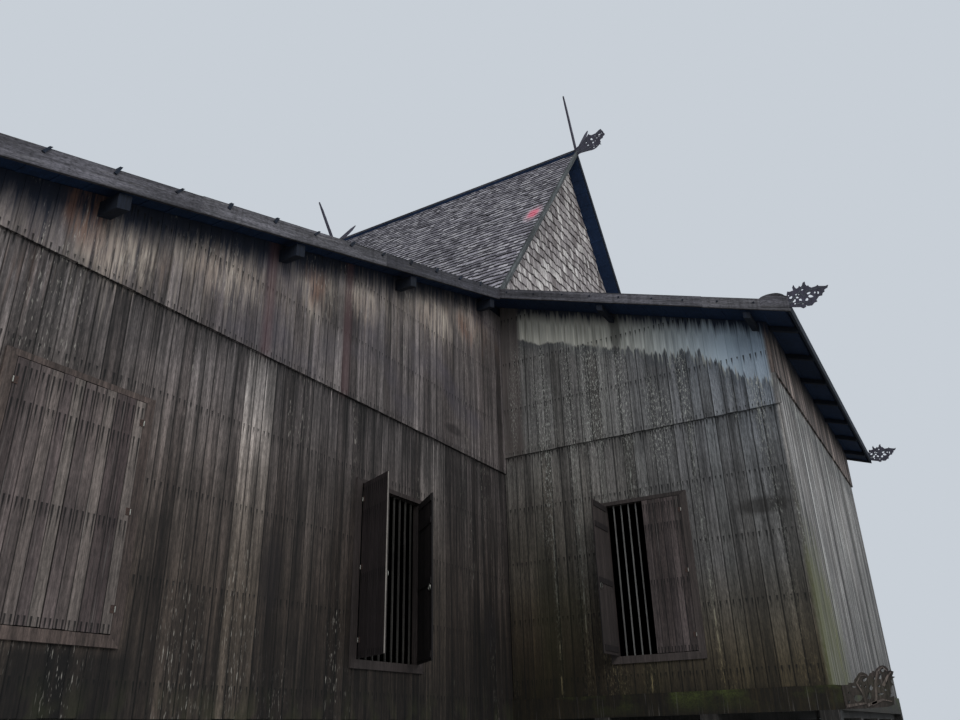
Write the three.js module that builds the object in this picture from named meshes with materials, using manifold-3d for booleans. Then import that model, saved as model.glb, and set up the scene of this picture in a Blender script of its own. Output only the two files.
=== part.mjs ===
import * as THREE from 'three';
import { mergeVertices } from 'three/addons/utils/BufferGeometryUtils.js';
import Module from 'manifold-3d';

// A Banjar high-roof house on posts. Millimetres, +Z up, ground at z = 0.
// X runs along the long body, Y across it, through the two side wings.
// "near" is the -Y side, "far" the +Y side, "left" the -X end, "right" the +X end.

const wasm = await Module();
wasm.setup();

// Plan
const bodyHalfWidth = 3000;
const bodyHalfLength = 12100;
const wingHalfWidth = 3190;
const wingReach = 6870;
const wall = 60;
const lap = 25;
const seat = 0.3;

// Heights
const floorTop = 2000;
const floorBoard = 39.7;
const joistDepth = 100;
const bearerDepth = 220;
const boardFoot = 1720;
const bodySeam = 4947;
const wingSeam = 5180;
const sill = { bottom: 1715, top: 1960, thick: 100, proud: 20 };

// Roofs: outer edges in plan, height of their shared corner, and pitches
const verge = bodyHalfWidth + 270;
const foot = wingHalfWidth + 480;
const lowEave = bodyHalfLength + 400;
const wingEave = wingReach + 370;
const footHeight = 7670;
const pitch = { low: radians(17), wing: radians(19.2), high: radians(54.4) };
const cover = { top: 25, under: 115 };
const bargeDepth = 170;
const vergeDepth = 90;
const bargeThick = 30;
const eaveBoardDepth = 175;

// Gables: a boarded and shingled triangle that stands on the walls
const gableProud = 20;
const gableBottom = footHeight - 204;
const innerPost = 150;
const innerPostsAt = 1050;
const tieDepth = 190;

// Carcass timbers
const post = 180;
const cornerPost = 200;
const bearerWidth = 140;
const rafterWidth = 60;
const lowFrame = { rafter: 70, purlin: 130, half: 60 };
const wingFrame = { rafter: 60, purlin: 75, half: 40 };
const highFrame = { rafter: 100, purlin: 150, half: 40 };
const ridge = { half: 70, depth: 225 };
const plate = { inset: 180, half: 70, drop: 365, depth: 160 };
const lowPurlins = [3870, 5880, 7890, 9900, 11910];
const wingPurlins = [4830, 6750];
const highPurlins = [1300, 2550];
const highTimberEnd = bodyHalfWidth - 20;

// Crossed horns over the gables: how far out and how high each tip stands
const hornFoot = { drop: 95, half: 50 };
const horns = {
  near: { left: [-480, 13900], right: [790, 13870] },
  far: { left: [-757, 13705], right: [651, 13600] },
};

// Windows: clear openings, and where their centres lie
const bodyWindow = { width: 1085, height: 1780, bottom: 2265 };
const wingWindow = { width: 1005, height: 1860, bottom: 2390 };
const bodyWindowsAt = [9780, 5900];
const wingWindowAt = 4981;
const trim = { width: 85, thick: 25 };
const lining = 35;
const leafThick = 28;
const hinge = { out: 32, radius: 6.7, height: 70, strap: 60, sides: 10 };

const finish = {
  posts: new THREE.MeshStandardMaterial({ color: 0x4a443d, roughness: 0.9 }),
  floor: new THREE.MeshStandardMaterial({ color: 0x5a5047, roughness: 0.85 }),
  sills: new THREE.MeshStandardMaterial({ color: 0x4c4c38, roughness: 0.9 }),
  bodyBoards: new THREE.MeshStandardMaterial({ color: 0x6b625b, roughness: 0.85 }),
  wingBoards: new THREE.MeshStandardMaterial({ color: 0x6a6d65, roughness: 0.85 }),
  gable: new THREE.MeshStandardMaterial({ color: 0x9a928a, roughness: 0.9 }),
  shingles: new THREE.MeshStandardMaterial({ color: 0x6d6a72, roughness: 0.9 }),
  frame: new THREE.MeshStandardMaterial({ color: 0x3a352f, roughness: 0.9 }),
  barge: new THREE.MeshStandardMaterial({ color: 0x77716c, roughness: 0.85 }),
  trim: new THREE.MeshStandardMaterial({ color: 0x5a4742, roughness: 0.8 }),
  shutter: new THREE.MeshStandardMaterial({ color: 0x6e5550, roughness: 0.8 }),
};

function radians(degrees) {
  return degrees * Math.PI / 180;
}

// Heights of the roof lines at a distance from the middle of the house
function lowLine(x) {
  return footHeight - (x - foot) * Math.tan(pitch.low);
}

function wingLine(y) {
  return footHeight - (y - verge) * Math.tan(pitch.wing);
}

function highLine(x) {
  return footHeight + (foot - x) * Math.tan(pitch.high);
}

// Height of a surface that lies square below a roof line
function under(line, slope, depth) {
  return (u) => line(u) - depth / Math.cos(slope);
}

const lowSoffit = under(lowLine, pitch.low, cover.under + seat);
const wingSoffit = under(wingLine, pitch.wing, cover.under + seat);
const highSoffit = under(highLine, pitch.high, cover.under + seat);

// A flat outline, swept from one coordinate to another along the axis square to its plane
function prism(plane, points, from, to, holes = []) {
  const shape = new THREE.Shape(points.map(([u, v]) => new THREE.Vector2(u, v)));
  for (const hole of holes) {
    shape.holes.push(new THREE.Path(hole.map(([u, v]) => new THREE.Vector2(u, v))));
  }
  const depth = to - from;
  const geometry = new THREE.ExtrudeGeometry(shape, { depth, bevelEnabled: false });
  if (plane === 'xy') {
    return geometry.translate(0, 0, from);
  }
  if (plane === 'xz') {
    return geometry.rotateX(Math.PI / 2).translate(0, to, 0);
  }
  const axes = new THREE.Matrix4().makeBasis(
    new THREE.Vector3(0, 1, 0), new THREE.Vector3(0, 0, 1), new THREE.Vector3(1, 0, 0));
  return geometry.applyMatrix4(axes).translate(from, 0, 0);
}

function box(x0, x1, y0, y1, z0, z1) {
  return new THREE.BoxGeometry(x1 - x0, y1 - y0, z1 - z0)
    .translate((x0 + x1) / 2, (y0 + y1) / 2, (z0 + z1) / 2);
}

function rectangle(u0, u1, v0, v1) {
  return [[u0, v0], [u1, v0], [u1, v1], [u0, v1]];
}

function mirrored(points) {
  return points.map(([u, v]) => [-u, v]);
}

// A strip below a roof line, between two distances from the middle and two depths
function strip(line, slope, from, to, top, bottom) {
  const upper = under(line, slope, top);
  const lower = under(line, slope, bottom);
  return [[-to, upper(to)], [-from, upper(from)], [-from, lower(from)], [-to, lower(to)]];
}

function toSolid(geometry) {
  const bare = new THREE.BufferGeometry();
  bare.setAttribute('position', geometry.getAttribute('position').clone());
  bare.setIndex(geometry.index ? geometry.index.clone() : null);
  const merged = mergeVertices(bare, 1e-3);
  return new wasm.Manifold(new wasm.Mesh({
    numProp: 3,
    vertProperties: new Float32Array(merged.getAttribute('position').array),
    triVerts: new Uint32Array(merged.index.array),
  }));
}

function toGeometry(solid) {
  const mesh = solid.getMesh();
  const geometry = new THREE.BufferGeometry();
  geometry.setAttribute('position', new THREE.BufferAttribute(mesh.vertProperties, 3));
  geometry.setIndex(new THREE.BufferAttribute(mesh.triVerts, 1));
  geometry.computeVertexNormals();
  return geometry;
}

function join(pieces) {
  return toGeometry(pieces.map(toSolid).reduce((whole, piece) => whole.add(piece)));
}

function cut(body, tools) {
  return toGeometry(tools.map(toSolid).reduce((rest, tool) => rest.subtract(tool), toSolid(body)));
}

function add(group, name, geometry, material) {
  const mesh = new THREE.Mesh(geometry, material);
  mesh.name = name;
  group.add(mesh);
  return mesh;
}

const house = new THREE.Group();

// Substructure: rows of posts under long bearers
const bearerTop = floorTop - floorBoard - joistDepth - seat;
const bearerBottom = bearerTop - bearerDepth;
const wallInside = bodyHalfWidth - wall;

function postRow() {
  const reach = bodyHalfLength - wall - seat;
  const pieces = [box(-reach, reach, 0, bearerWidth, bearerBottom, bearerTop)];
  const bays = 14;
  for (let i = 0; i <= bays; i += 1) {
    const x = (reach - post / 2) * (2 * i / bays - 1);
    pieces.push(box(x - post / 2, x + post / 2, 0, post, 0, bearerBottom + 1));
  }
  return join(pieces);
}

function addPostRows() {
  const outer = wallInside - seat;
  const inner = 950;
  const rows = [[outer, Math.PI], [inner, Math.PI], [-inner, 0], [-outer, 0]];
  rows.forEach(([y, turn], i) => {
    const row = add(house, `main_post_row_${i + 1}`, postRow(), finish.posts);
    row.position.y = y;
    row.rotation.z = turn;
  });
}

function wingPosts() {
  const rows = [wingReach - 80, 5500, 4210];
  const inside = wingHalfWidth + sill.proud - sill.thick - seat;
  const cornerX = wingHalfWidth + sill.proud - cornerPost / 2;
  const pieces = [];
  rows.forEach((y, i) => {
    const back = i === 0 ? -y + seat : -y - bearerWidth / 2;
    pieces.push(box(-inside, inside, back, back + bearerWidth, bearerBottom, bearerTop));
    for (const x of [-cornerX, -cornerX / 2, 0, cornerX / 2, cornerX]) {
      const half = Math.abs(x) === cornerX ? cornerPost / 2 : post / 2;
      const top = Math.abs(x) === cornerX ? sill.bottom - seat : bearerBottom + 1;
      pieces.push(box(x - half, x + half, -y - half, -y + half, 0, top));
    }
  });
  for (const x of [-cornerX / 2, cornerX / 2]) {
    pieces.push(box(x - 50, x + 50, -rows[0], -rows[2], bearerBottom - 180, bearerBottom + 1));
  }
  return join(pieces);
}

function floor() {
  const x = bodyHalfLength - wall - seat;
  const y = wallInside - seat;
  const wingX = wingHalfWidth - wall - seat;
  const wingY = wingReach - wall - seat;
  const plan = [
    [-x, -y], [-wingX, -y], [-wingX, -wingY], [wingX, -wingY], [wingX, -y], [x, -y],
    [x, y], [wingX, y], [wingX, wingY], [-wingX, wingY], [-wingX, y], [-x, y],
  ];
  const pieces = [prism('xy', plan, floorTop - floorBoard, floorTop)];
  const spacing = 860;
  const joistBottom = bearerTop + seat;
  for (let at = spacing / 2; at < x; at += spacing) {
    const reach = at < wingX - 60 ? wingY - 30 : y;
    for (const centre of [-at, at]) {
      pieces.push(box(centre - 30, centre + 30, -reach, reach, joistBottom, floorTop - floorBoard + 1));
    }
  }
  return join(pieces);
}

// Wing sill beams, whose ends run past the corner as a carved scroll
function scroll() {
  const y = -(wingReach + sill.proud);
  return [
    [y + 40, sill.bottom], [y - 420, sill.bottom + 10], [y - 590, sill.bottom + 150],
    [y - 600, sill.bottom + 330], [y - 520, sill.bottom + 420], [y - 380, sill.bottom + 400],
    [y - 250, sill.bottom + 330], [y - 100, sill.top - 10], [y + 40, sill.top],
  ];
}

function wingSills(scrolls) {
  const x = wingHalfWidth + sill.proud;
  const y = wingReach + sill.proud;
  const inner = wallInside + seat;
  const pieces = [box(-x, x, -y, -y + sill.thick, sill.bottom, sill.top)];
  for (const side of [-1, 1]) {
    const edges = [side * x, side * (x - sill.thick)].sort((a, b) => a - b);
    pieces.push(box(...edges, -y, -inner, sill.bottom, sill.top));
    if (scrolls.includes(side)) {
      pieces.push(prism('yz', scroll(), ...edges));
    }
  }
  return join(pieces);
}

// Boarded walls: the upper boards lap over the lower ones at the seam
function windowHole(plane, centre, size, face) {
  const half = size.width / 2 + lining;
  const top = size.bottom + size.height + lining;
  const outline = rectangle(centre - half, centre + half, size.bottom - lining, top);
  return prism(plane, outline, face - 2 * wall, face + 2 * wall);
}

function longWall(side) {
  const innerX = -wingHalfWidth - seat;
  const top = gableBottom - seat;
  const stepX = -foot - 4;
  const roofed = [[stepX, top], [stepX, lowSoffit(foot + 4)], [-bodyHalfLength, lowSoffit(bodyHalfLength)]];
  const notchX = innerX - sill.proud;
  const core = [
    [-bodyHalfLength, boardFoot], [notchX, boardFoot], [notchX, sill.top + seat],
    [innerX, sill.top + seat], [innerX, top], ...roofed,
  ];
  const upper = [[-bodyHalfLength, bodySeam], [innerX, bodySeam], [innerX, top], ...roofed];
  const holes = bodyWindowsAt.map((at) => windowHole('xz', -at, bodyWindow, side * bodyHalfWidth));
  const faces = [-bodyHalfWidth, -wallInside];
  const lapFaces = [-bodyHalfWidth - lap, -bodyHalfWidth + 1];
  const place = (pair) => (side < 0 ? pair : pair.map((y) => -y).reverse());
  const boards = join([prism('xz', core, ...place(faces)), prism('xz', upper, ...place(lapFaces))]);
  return cut(boards, [...holes, ...lowPurlinBars(seat)]);
}

function endWall() {
  const half = wallInside - seat;
  const top = lowSoffit(bodyHalfLength);
  const boards = box(-bodyHalfLength, -bodyHalfLength + wall, -half, half, boardFoot, top);
  return cut(boards, lowRafters(seat));
}

function wingSideWall(side) {
  const innerY = -wallInside;
  const gableFace = bodyHalfWidth + gableProud + 3 * seat;
  const top = gableBottom - seat;
  const core = [
    [-wingReach, sill.top + seat], [innerY, sill.top + seat], [innerY, top],
    [-gableFace, top], [-gableFace, wingSoffit(gableFace)], [-wingReach, wingSoffit(wingReach)],
  ];
  const lapStart = bodyHalfWidth + lap + 2 * seat;
  const lapEnd = wingReach + lap;
  const upper = [
    [-lapEnd, wingSeam], [-lapStart, wingSeam],
    [-lapStart, wingSoffit(lapStart)], [-lapEnd, wingSoffit(lapEnd)],
  ];
  const hole = windowHole('yz', -wingWindowAt, wingWindow, side * wingHalfWidth);
  const order = (a, b) => [side * a, side * b].sort((p, q) => p - q);
  const boards = join([
    prism('yz', core, ...order(wingHalfWidth, wingHalfWidth - wall)),
    prism('yz', upper, ...order(wingHalfWidth + lap, wingHalfWidth - 1)),
  ]);
  return cut(boards, [hole, ...wingPurlinBars(seat)]);
}

function wingEndWall() {
  const half = wingHalfWidth - wall - seat;
  const lapHalf = wingHalfWidth - 4 * seat;
  const lapOut = wingReach + lap;
  const boards = join([
    box(-half, half, -wingReach, -wingReach + wall, sill.top + seat, wingSoffit(wingReach)),
    box(-lapHalf, lapHalf, -lapOut, -wingReach - seat, wingSeam, wingSoffit(lapOut)),
    box(-half, half, -wingReach - 1, -wingReach + 1, wingSeam, wingSoffit(lapOut)),
  ]);
  return cut(boards, wingRafters(seat));
}

// The shingled gable stands on a tie beam and four posts inside the house
function gable() {
  const half = foot - 2;
  const shoulder = highSoffit(half);
  const outline = [
    [-half, gableBottom], [half, gableBottom], [half, shoulder], [0, highSoffit(0)], [-half, shoulder],
  ];
  const beamHalf = wingHalfWidth - wall - 5;
  const y = -bodyHalfWidth;
  const tieBottom = gableBottom - tieDepth;
  const pieces = [
    prism('xz', outline, y - gableProud, -wallInside),
    box(-beamHalf, beamHalf, y, y + innerPost, tieBottom, gableBottom + 1),
  ];
  const outerPostsAt = beamHalf - innerPost / 2;
  for (const x of [-outerPostsAt, -innerPostsAt, innerPostsAt, outerPostsAt]) {
    const sides = [x - innerPost / 2, x + innerPost / 2];
    pieces.push(box(...sides, y, y + innerPost, floorTop + seat, tieBottom + 1));
  }
  return cut(join(pieces), [...highPurlinBars(seat), ridgeBeam(seat)]);
}

// Roof timbers. Spare widens a bar into the notch that takes it.
function bars(line, slope, frame, places, reach, plane, spare) {
  const top = cover.under + frame.rafter - 2 - spare;
  const bottom = cover.under + frame.rafter + frame.purlin + spare;
  return places.map((at) => {
    const outline = strip(line, slope, at - frame.half - spare, at + frame.half + spare, top, bottom);
    return prism(plane, outline, -reach, reach);
  });
}

function lowPurlinBars(spare) {
  return bars(lowLine, pitch.low, lowFrame, lowPurlins, verge - 10, 'xz', spare);
}

function wingPurlinBars(spare) {
  return bars(wingLine, pitch.wing, wingFrame, wingPurlins, foot - 10, 'yz', spare);
}

function highPurlinBars(spare) {
  const reach = highTimberEnd + spare;
  const left = bars(highLine, pitch.high, highFrame, highPurlins, reach, 'xz', spare);
  const right = left.map((bar) => bar.clone().rotateZ(Math.PI));
  return [...left, ...right];
}

function ridgeBeam(spare) {
  const top = highSoffit(ridge.half) - 1;
  const half = ridge.half + spare;
  const reach = highTimberEnd + spare;
  return box(-half, half, -reach, reach, top - ridge.depth - spare, top + spare);
}

// Seven rafters a roof, under the cover, from the upper edge down to the eave
function rafters(line, slope, frame, from, to, spacing, plane, spare) {
  const bottom = cover.under + frame.rafter + spare;
  const outline = strip(line, slope, from, to, cover.under + seat - 4 * spare, bottom);
  const half = rafterWidth / 2 + spare;
  return [-3, -2, -1, 0, 1, 2, 3]
    .map((step) => prism(plane, outline, step * spacing - half, step * spacing + half));
}

function lowRafters(spare) {
  return rafters(lowLine, pitch.low, lowFrame, foot + 8, lowEave - 10, 940, 'xz', spare);
}

function wingRafters(spare) {
  const top = bodyHalfWidth + gableProud + seat;
  return rafters(wingLine, pitch.wing, wingFrame, top, wingEave - 10, 1020, 'yz', spare);
}

function lowRoofFrame() {
  return join([...lowPurlinBars(0), ...lowRafters(0)]);
}

function wingRoofFrame() {
  return join([...wingPurlinBars(0), ...wingRafters(0)]);
}

function highRoofFrame() {
  const rafterTop = cover.under + seat;
  const outline = strip(highLine, pitch.high, 0, foot - 110, rafterTop, cover.under + highFrame.rafter);
  const plateX = foot - plate.inset;
  const plateTop = highLine(plateX) - plate.drop;
  const pieces = [ridgeBeam(0), ...highPurlinBars(0)];
  for (const y of [-2400, -1600, -800, 0, 800, 1600, 2400]) {
    const span = [y - rafterWidth / 2, y + rafterWidth / 2];
    pieces.push(prism('xz', outline, ...span), prism('xz', mirrored(outline), ...span));
  }
  const plateReach = wallInside - seat;
  for (const x of [-plateX, plateX]) {
    const sides = [x - plate.half, x + plate.half];
    pieces.push(box(...sides, -plateReach, plateReach, plateTop - plate.depth, plateTop + 10));
  }
  for (const y of [-1600, 0, 1600]) {
    pieces.push(box(-plateX, plateX, y - 60, y + 60, plateTop - plate.depth + 10, plateTop));
  }
  return join(pieces);
}

// Roof covers
function wingBlock() {
  const upper = bodyHalfWidth + gableProud;
  const outline = strip(wingLine, pitch.wing, upper, wingEave, cover.top - 1, 700);
  const block = prism('yz', outline, -foot - 1, foot + 1);
  return [block, block.clone().rotateZ(Math.PI)];
}

function highRoof() {
  const outline = strip(highLine, pitch.high, seat, foot, cover.top, cover.under);
  return cut(prism('xz', outline, -verge, verge), wingBlock());
}

function lowRoof() {
  const outline = strip(lowLine, pitch.low, foot + 2 * seat, lowEave, cover.top, cover.under);
  return prism('xz', outline, -verge, verge);
}

function wingRoof() {
  const top = bodyHalfWidth + gableProud + seat;
  const outline = strip(wingLine, pitch.wing, top, wingEave, cover.top, cover.under);
  return prism('yz', outline, -foot, foot);
}

// Carved leaf that stands out from the crossing of the verge boards
function ridgeLeaf() {
  const apex = highLine(0);
  const face = -verge - bargeThick;
  return [
    [face + 20, apex - 130], [face + 20, apex + 70], [face - 80, apex + 135], [face - 300, apex + 303],
    [face - 450, apex + 270], [face - 580, apex + 310], [face - 648, apex + 122], [face - 600, apex + 54],
    [face - 527, apex + 36], [face - 540, apex - 90], [face - 370, apex - 140], [face - 90, apex - 110],
  ];
}

// A tapered blade from the crossing up to its tip
function hornBlade([x, z]) {
  const base = highLine(0) - hornFoot.drop;
  const length = Math.hypot(x, z - base);
  const across = [(z - base) / length * hornFoot.half, -x / length * hornFoot.half];
  const at = (share, side) => [share * x + side * across[0], base + share * (z - base) + side * across[1]];
  return [at(0, -1), at(0, 1), at(0.8, 0.7), at(1, 0.1), at(1, -0.3), at(0.8, -0.7)];
}

// Boards along the roof edges
function vergeBoards(tips) {
  const board = strip(highLine, pitch.high, 0, foot - seat, 0, vergeDepth);
  const faces = [-verge - bargeThick, -verge - seat];
  const outlines = [board, mirrored(board), hornBlade(tips.left), hornBlade(tips.right)];
  const boards = outlines.map((outline) => prism('xz', outline, ...faces));
  return cut(join([...boards, prism('yz', ridgeLeaf(), -20, 20)]), wingBlock());
}

function lowBargeBoards() {
  const end = lowEave + bargeThick;
  const side = verge + bargeThick;
  const rake = strip(lowLine, pitch.low, foot + bargeThick + 2 * seat, end, 0, bargeDepth);
  const top = lowLine(end);
  return join([
    prism('xz', rake, -side, -verge - seat),
    prism('xz', rake, verge + seat, side),
    box(-end, -lowEave - seat, -side, side, top - eaveBoardDepth, top),
  ]);
}

// Hump and carved leaf at the lower end of each wing rake board
function eaveLeaf() {
  const y = -wingEave - bargeThick;
  const top = wingLine(wingEave + bargeThick);
  return [
    [y + 330, wingLine(wingEave - 300)], [y + 190, wingLine(wingEave - 160) + 55], [y + 95, top + 122],
    [y + 10, top + 70], [y - 80, top + 180], [y - 220, top + 192], [y - 330, top + 110],
    [y - 480, top + 75], [y - 400, top - 35], [y - 265, top - 128], [y - 150, top - 160],
    [y + 60, top - 150], [y + 330, top - 40],
  ];
}

function wingBargeBoards() {
  const end = wingEave + bargeThick;
  const side = foot + bargeThick;
  const rake = strip(wingLine, pitch.wing, verge + 2 * seat, end, 0, bargeDepth);
  const top = wingLine(end);
  const pieces = [box(-side, side, -end, -wingEave - seat, top - eaveBoardDepth, top)];
  for (const faces of [[-side, -foot - seat], [foot + seat, side]]) {
    pieces.push(prism('yz', rake, ...faces), prism('yz', eaveLeaf(), ...faces));
  }
  return join(pieces);
}

// Windows stand in their own frame: X along the wall, -Y outward, origin at the foot of the opening
function windowFrame(size) {
  const half = size.width / 2;
  const opening = rectangle(-half, half, 0, size.height);
  const grown = (by) => rectangle(-half - by, half + by, -by, size.height + by);
  return join([
    prism('xz', grown(trim.width), -trim.thick, -seat, [opening]),
    prism('xz', grown(lining - seat), -trim.thick, wall + 15, [opening]),
  ]);
}

// One leaf, shut, with its hinge axis at the origin and its free edge towards +X or -X
function leaf(size, side) {
  const width = size.width / 2 - 2;
  const span = (a, b) => [side * a, side * b].sort((p, q) => p - q);
  const pieces = [box(...span(2, width), 4, 4 + leafThick, 4, size.height - 4)];
  for (const z of [0.1, 0.5, 0.9].map((share) => share * size.height)) {
    pieces.push(new THREE.CylinderGeometry(hinge.radius, hinge.radius, hinge.height, hinge.sides)
      .rotateX(Math.PI / 2).translate(0, 0, z));
    pieces.push(box(...span(0, hinge.strap), 0, 5, z - hinge.height / 2 + 5, z + hinge.height / 2 - 5));
  }
  return join(pieces);
}

// A window that is shut: its leaves hang on plain hinge blocks fixed to the trim
function shutWindow(size) {
  const half = size.width / 2;
  const pieces = [windowFrame(size)];
  for (const side of [-1, 1]) {
    const span = (a, b) => [side * a, side * b].sort((p, q) => p - q);
    pieces.push(box(...span(2, half - 2), -leafThick, 0, 4, size.height - 4));
    for (const z of [0.1, 0.9].map((share) => share * size.height)) {
      pieces.push(box(...span(half - 40, half + 8), -leafThick - 4, -trim.thick + 1, z - 30, z + 30));
    }
  }
  return join(pieces);
}

function openWindow(name, size, leftTurn, rightTurn) {
  const half = size.width / 2;
  const group = new THREE.Group();
  add(group, `${name}_frame`, windowFrame(size), finish.trim);
  const leftLeaf = add(group, `${name}_left_shutter`, leaf(size, 1), finish.shutter);
  leftLeaf.position.set(-half, -hinge.out, 0);
  leftLeaf.rotation.z = -radians(leftTurn);
  const rightLeaf = add(group, `${name}_right_shutter`, leaf(size, -1), finish.shutter);
  rightLeaf.position.set(half, -hinge.out, 0);
  rightLeaf.rotation.z = radians(rightTurn);
  return group;
}

function shutGroup(name, size) {
  const group = new THREE.Group();
  add(group, name, shutWindow(size), finish.trim);
  return group;
}

function place(group, parent, x, y, z, turn) {
  group.position.set(x, y, z);
  group.rotation.z = radians(turn);
  parent.add(group);
}

// The long body runs out to one end: roof, frame, barge boards, walls and windows
function bodyEnd(end, nearSide, farSide, windows) {
  const group = new THREE.Group();
  add(group, `low_roof_${end}`, lowRoof(), finish.shingles);
  add(group, `low_roof_frame_${end}`, lowRoofFrame(), finish.frame);
  add(group, `low_barge_boards_${end}`, lowBargeBoards(), finish.barge);
  add(group, `end_wall_${end}`, endWall(), finish.bodyBoards);
  add(group, `long_wall_${nearSide}_${end}`, longWall(-1), finish.bodyBoards);
  add(group, `long_wall_${farSide}_${end}`, longWall(1), finish.bodyBoards);
  bodyWindowsAt.forEach((at, i) => {
    place(windows[i], group, -at, -bodyHalfWidth, bodyWindow.bottom, 0);
    const back = shutGroup(`window_${farSide}_${end}_${i + 1}`, bodyWindow);
    place(back, group, -at, bodyHalfWidth, bodyWindow.bottom, 180);
  });
  return group;
}

function wing(side, left, right, leftWindow, scrolls) {
  const group = new THREE.Group();
  add(group, `wing_posts_${side}`, wingPosts(), finish.posts);
  add(group, `wing_sills_${side}`, wingSills(scrolls), finish.sills);
  add(group, `wing_side_wall_${side}_${left}`, wingSideWall(-1), finish.wingBoards);
  add(group, `wing_side_wall_${side}_${right}`, wingSideWall(1), finish.wingBoards);
  add(group, `wing_end_wall_${side}`, wingEndWall(), finish.wingBoards);
  add(group, `wing_roof_frame_${side}`, wingRoofFrame(), finish.frame);
  add(group, `wing_roof_${side}`, wingRoof(), finish.shingles);
  add(group, `wing_barge_boards_${side}`, wingBargeBoards(), finish.barge);
  add(group, `gable_${side}`, gable(), finish.gable);
  add(group, `verge_boards_${side}`, vergeBoards(horns[side]), finish.barge);
  place(leftWindow, group, -wingHalfWidth, -wingWindowAt, wingWindow.bottom, -90);
  const other = shutGroup(`window_wing_${side}_${right}`, wingWindow);
  place(other, group, wingHalfWidth, -wingWindowAt, wingWindow.bottom, 90);
  return group;
}

addPostRows();
add(house, 'floor', floor(), finish.floor);

const leftEnd = bodyEnd('left', 'near', 'far', [
  openWindow('window_near_left_1', bodyWindow, 0, 0),
  openWindow('window_near_left_2', bodyWindow, 115, 50),
]);
place(leftEnd, house, 0, 0, 0, 0);

const rightEnd = bodyEnd('right', 'far', 'near', [
  shutGroup('window_far_right_1', bodyWindow),
  shutGroup('window_far_right_2', bodyWindow),
]);
place(rightEnd, house, 0, 0, 0, 180);

const wingWindowOpen = openWindow('window_wing_near_left', wingWindow, 88, 0);
const nearWing = wing('near', 'left', 'right', wingWindowOpen, [-1]);
place(nearWing, house, 0, 0, 0, 0);

const farWing = wing('far', 'right', 'left', shutGroup('window_wing_far_right', wingWindow), [-1, 1]);
place(farWing, house, 0, 0, 0, 180);

const highRoofGeometry = highRoof();
add(house, 'high_roof_left', highRoofGeometry, finish.shingles);
const highRoofRight = add(house, 'high_roof_right', highRoofGeometry.clone(), finish.shingles);
highRoofRight.rotation.z = Math.PI;
add(house, 'high_roof_frame', highRoofFrame(), finish.frame);

export default house;
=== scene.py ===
# %% [markdown]
# # A Banjar high-roof house
# The real house is a timber house on posts, built of ironwood: upright boards on the walls,
# split shingles on the roofs, carved leaves on the ends of its edge boards. The measured solids
# give every wall and roof its place. What follows lays the boards and shingles one by one on
# those walls and slopes, because a lapped board or a raised shingle edge catches the light as
# a painted pattern can't, and then weathers the wood with patterns scaled in millimetres.

# %% Load the measured house
import math
import random
from functools import partial

import bmesh
import bpy
from mathutils import Matrix, Vector
from mathutils.geometry import tessellate_polygon


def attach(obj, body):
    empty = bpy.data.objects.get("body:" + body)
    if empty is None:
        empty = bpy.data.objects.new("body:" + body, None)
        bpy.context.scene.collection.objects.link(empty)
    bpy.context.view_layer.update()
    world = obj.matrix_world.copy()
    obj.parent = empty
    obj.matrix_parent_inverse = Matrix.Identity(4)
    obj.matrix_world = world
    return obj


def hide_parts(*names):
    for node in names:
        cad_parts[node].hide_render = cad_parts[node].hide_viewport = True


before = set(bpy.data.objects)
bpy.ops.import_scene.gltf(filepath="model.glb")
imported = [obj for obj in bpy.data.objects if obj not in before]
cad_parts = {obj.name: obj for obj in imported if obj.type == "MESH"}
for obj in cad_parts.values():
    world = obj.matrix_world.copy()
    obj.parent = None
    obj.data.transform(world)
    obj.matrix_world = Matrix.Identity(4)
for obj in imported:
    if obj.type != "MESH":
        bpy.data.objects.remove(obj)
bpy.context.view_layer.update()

# %% [markdown]
# ## The camera
# The viewer stands on the ground near the inner corner of the house and looks up, so the
# camera is low, tilted up and a little rolled. A matrix states that more plainly than three
# angles: its columns are what points right, up and back in the view.

# %% Camera
EYE = Vector((-13.176, -8.400, 1.550))
VIEW_RIGHT = Vector((0.50909, -0.86040, -0.02337))
VIEW_UP = Vector((-0.34830, -0.23076, 0.90854))
VIEW_BACK = Vector((-0.78710, -0.45438, -0.41715))
camera_data = bpy.data.cameras.new("viewer")
camera_data.sensor_width = 36.0
camera_data.lens = 30.72
camera_data.clip_end = 300.0
camera = bpy.data.objects.new("viewer", camera_data)
camera.matrix_world = Matrix((VIEW_RIGHT, VIEW_UP, VIEW_BACK)).transposed().to_4x4()
camera.matrix_world.translation = EYE
bpy.context.scene.collection.objects.link(camera)
bpy.context.scene.camera = camera
print("eye height, metres:", EYE.z)

# %% [markdown]
# ## The main lines of the house
# Every board and shingle takes its place from a few lines: the faces of the walls and the
# three roof slopes, which all meet at one corner above the inner corner of the walls.

# %% Main lines, in metres
# FACE and END are where boards face outward, a SEAM is where upper boards lap over lower ones,
# and FOOT is the corner in which the three slopes meet: its X and Z, and the verge's Y.
BODY_FACE = 3.000
BODY_END = 12.100
WING_FACE = 3.190
WING_END = 6.870
FLOOR_TOP = 2.000
BOARD_FOOT = 1.720
SILL_TOP = 1.960
BODY_SEAM = 4.947
WING_SEAM = 5.180
END_SEAM = 5.600
LAP = 0.025
FOOT_X, VERGE_Y, FOOT_Z = 3.670, 3.270, 7.670
LOW_EAVE, WING_EAVE = 12.500, 7.240
LOW_PITCH, WING_PITCH, HIGH_PITCH = (math.radians(a) for a in (17.0, 19.2, 54.4))
COVER_TOP, COVER_UNDER = 0.025, 0.115
GABLE_FOOT = FOOT_Z - 0.204
EDGE_DEPTH, VERGE_DEPTH, EDGE_THICK = 0.170, 0.090, 0.030


def low_line(x):
    return FOOT_Z - (abs(x) - FOOT_X) * math.tan(LOW_PITCH)


def wing_line(y):
    return FOOT_Z - (abs(y) - VERGE_Y) * math.tan(WING_PITCH)


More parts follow.
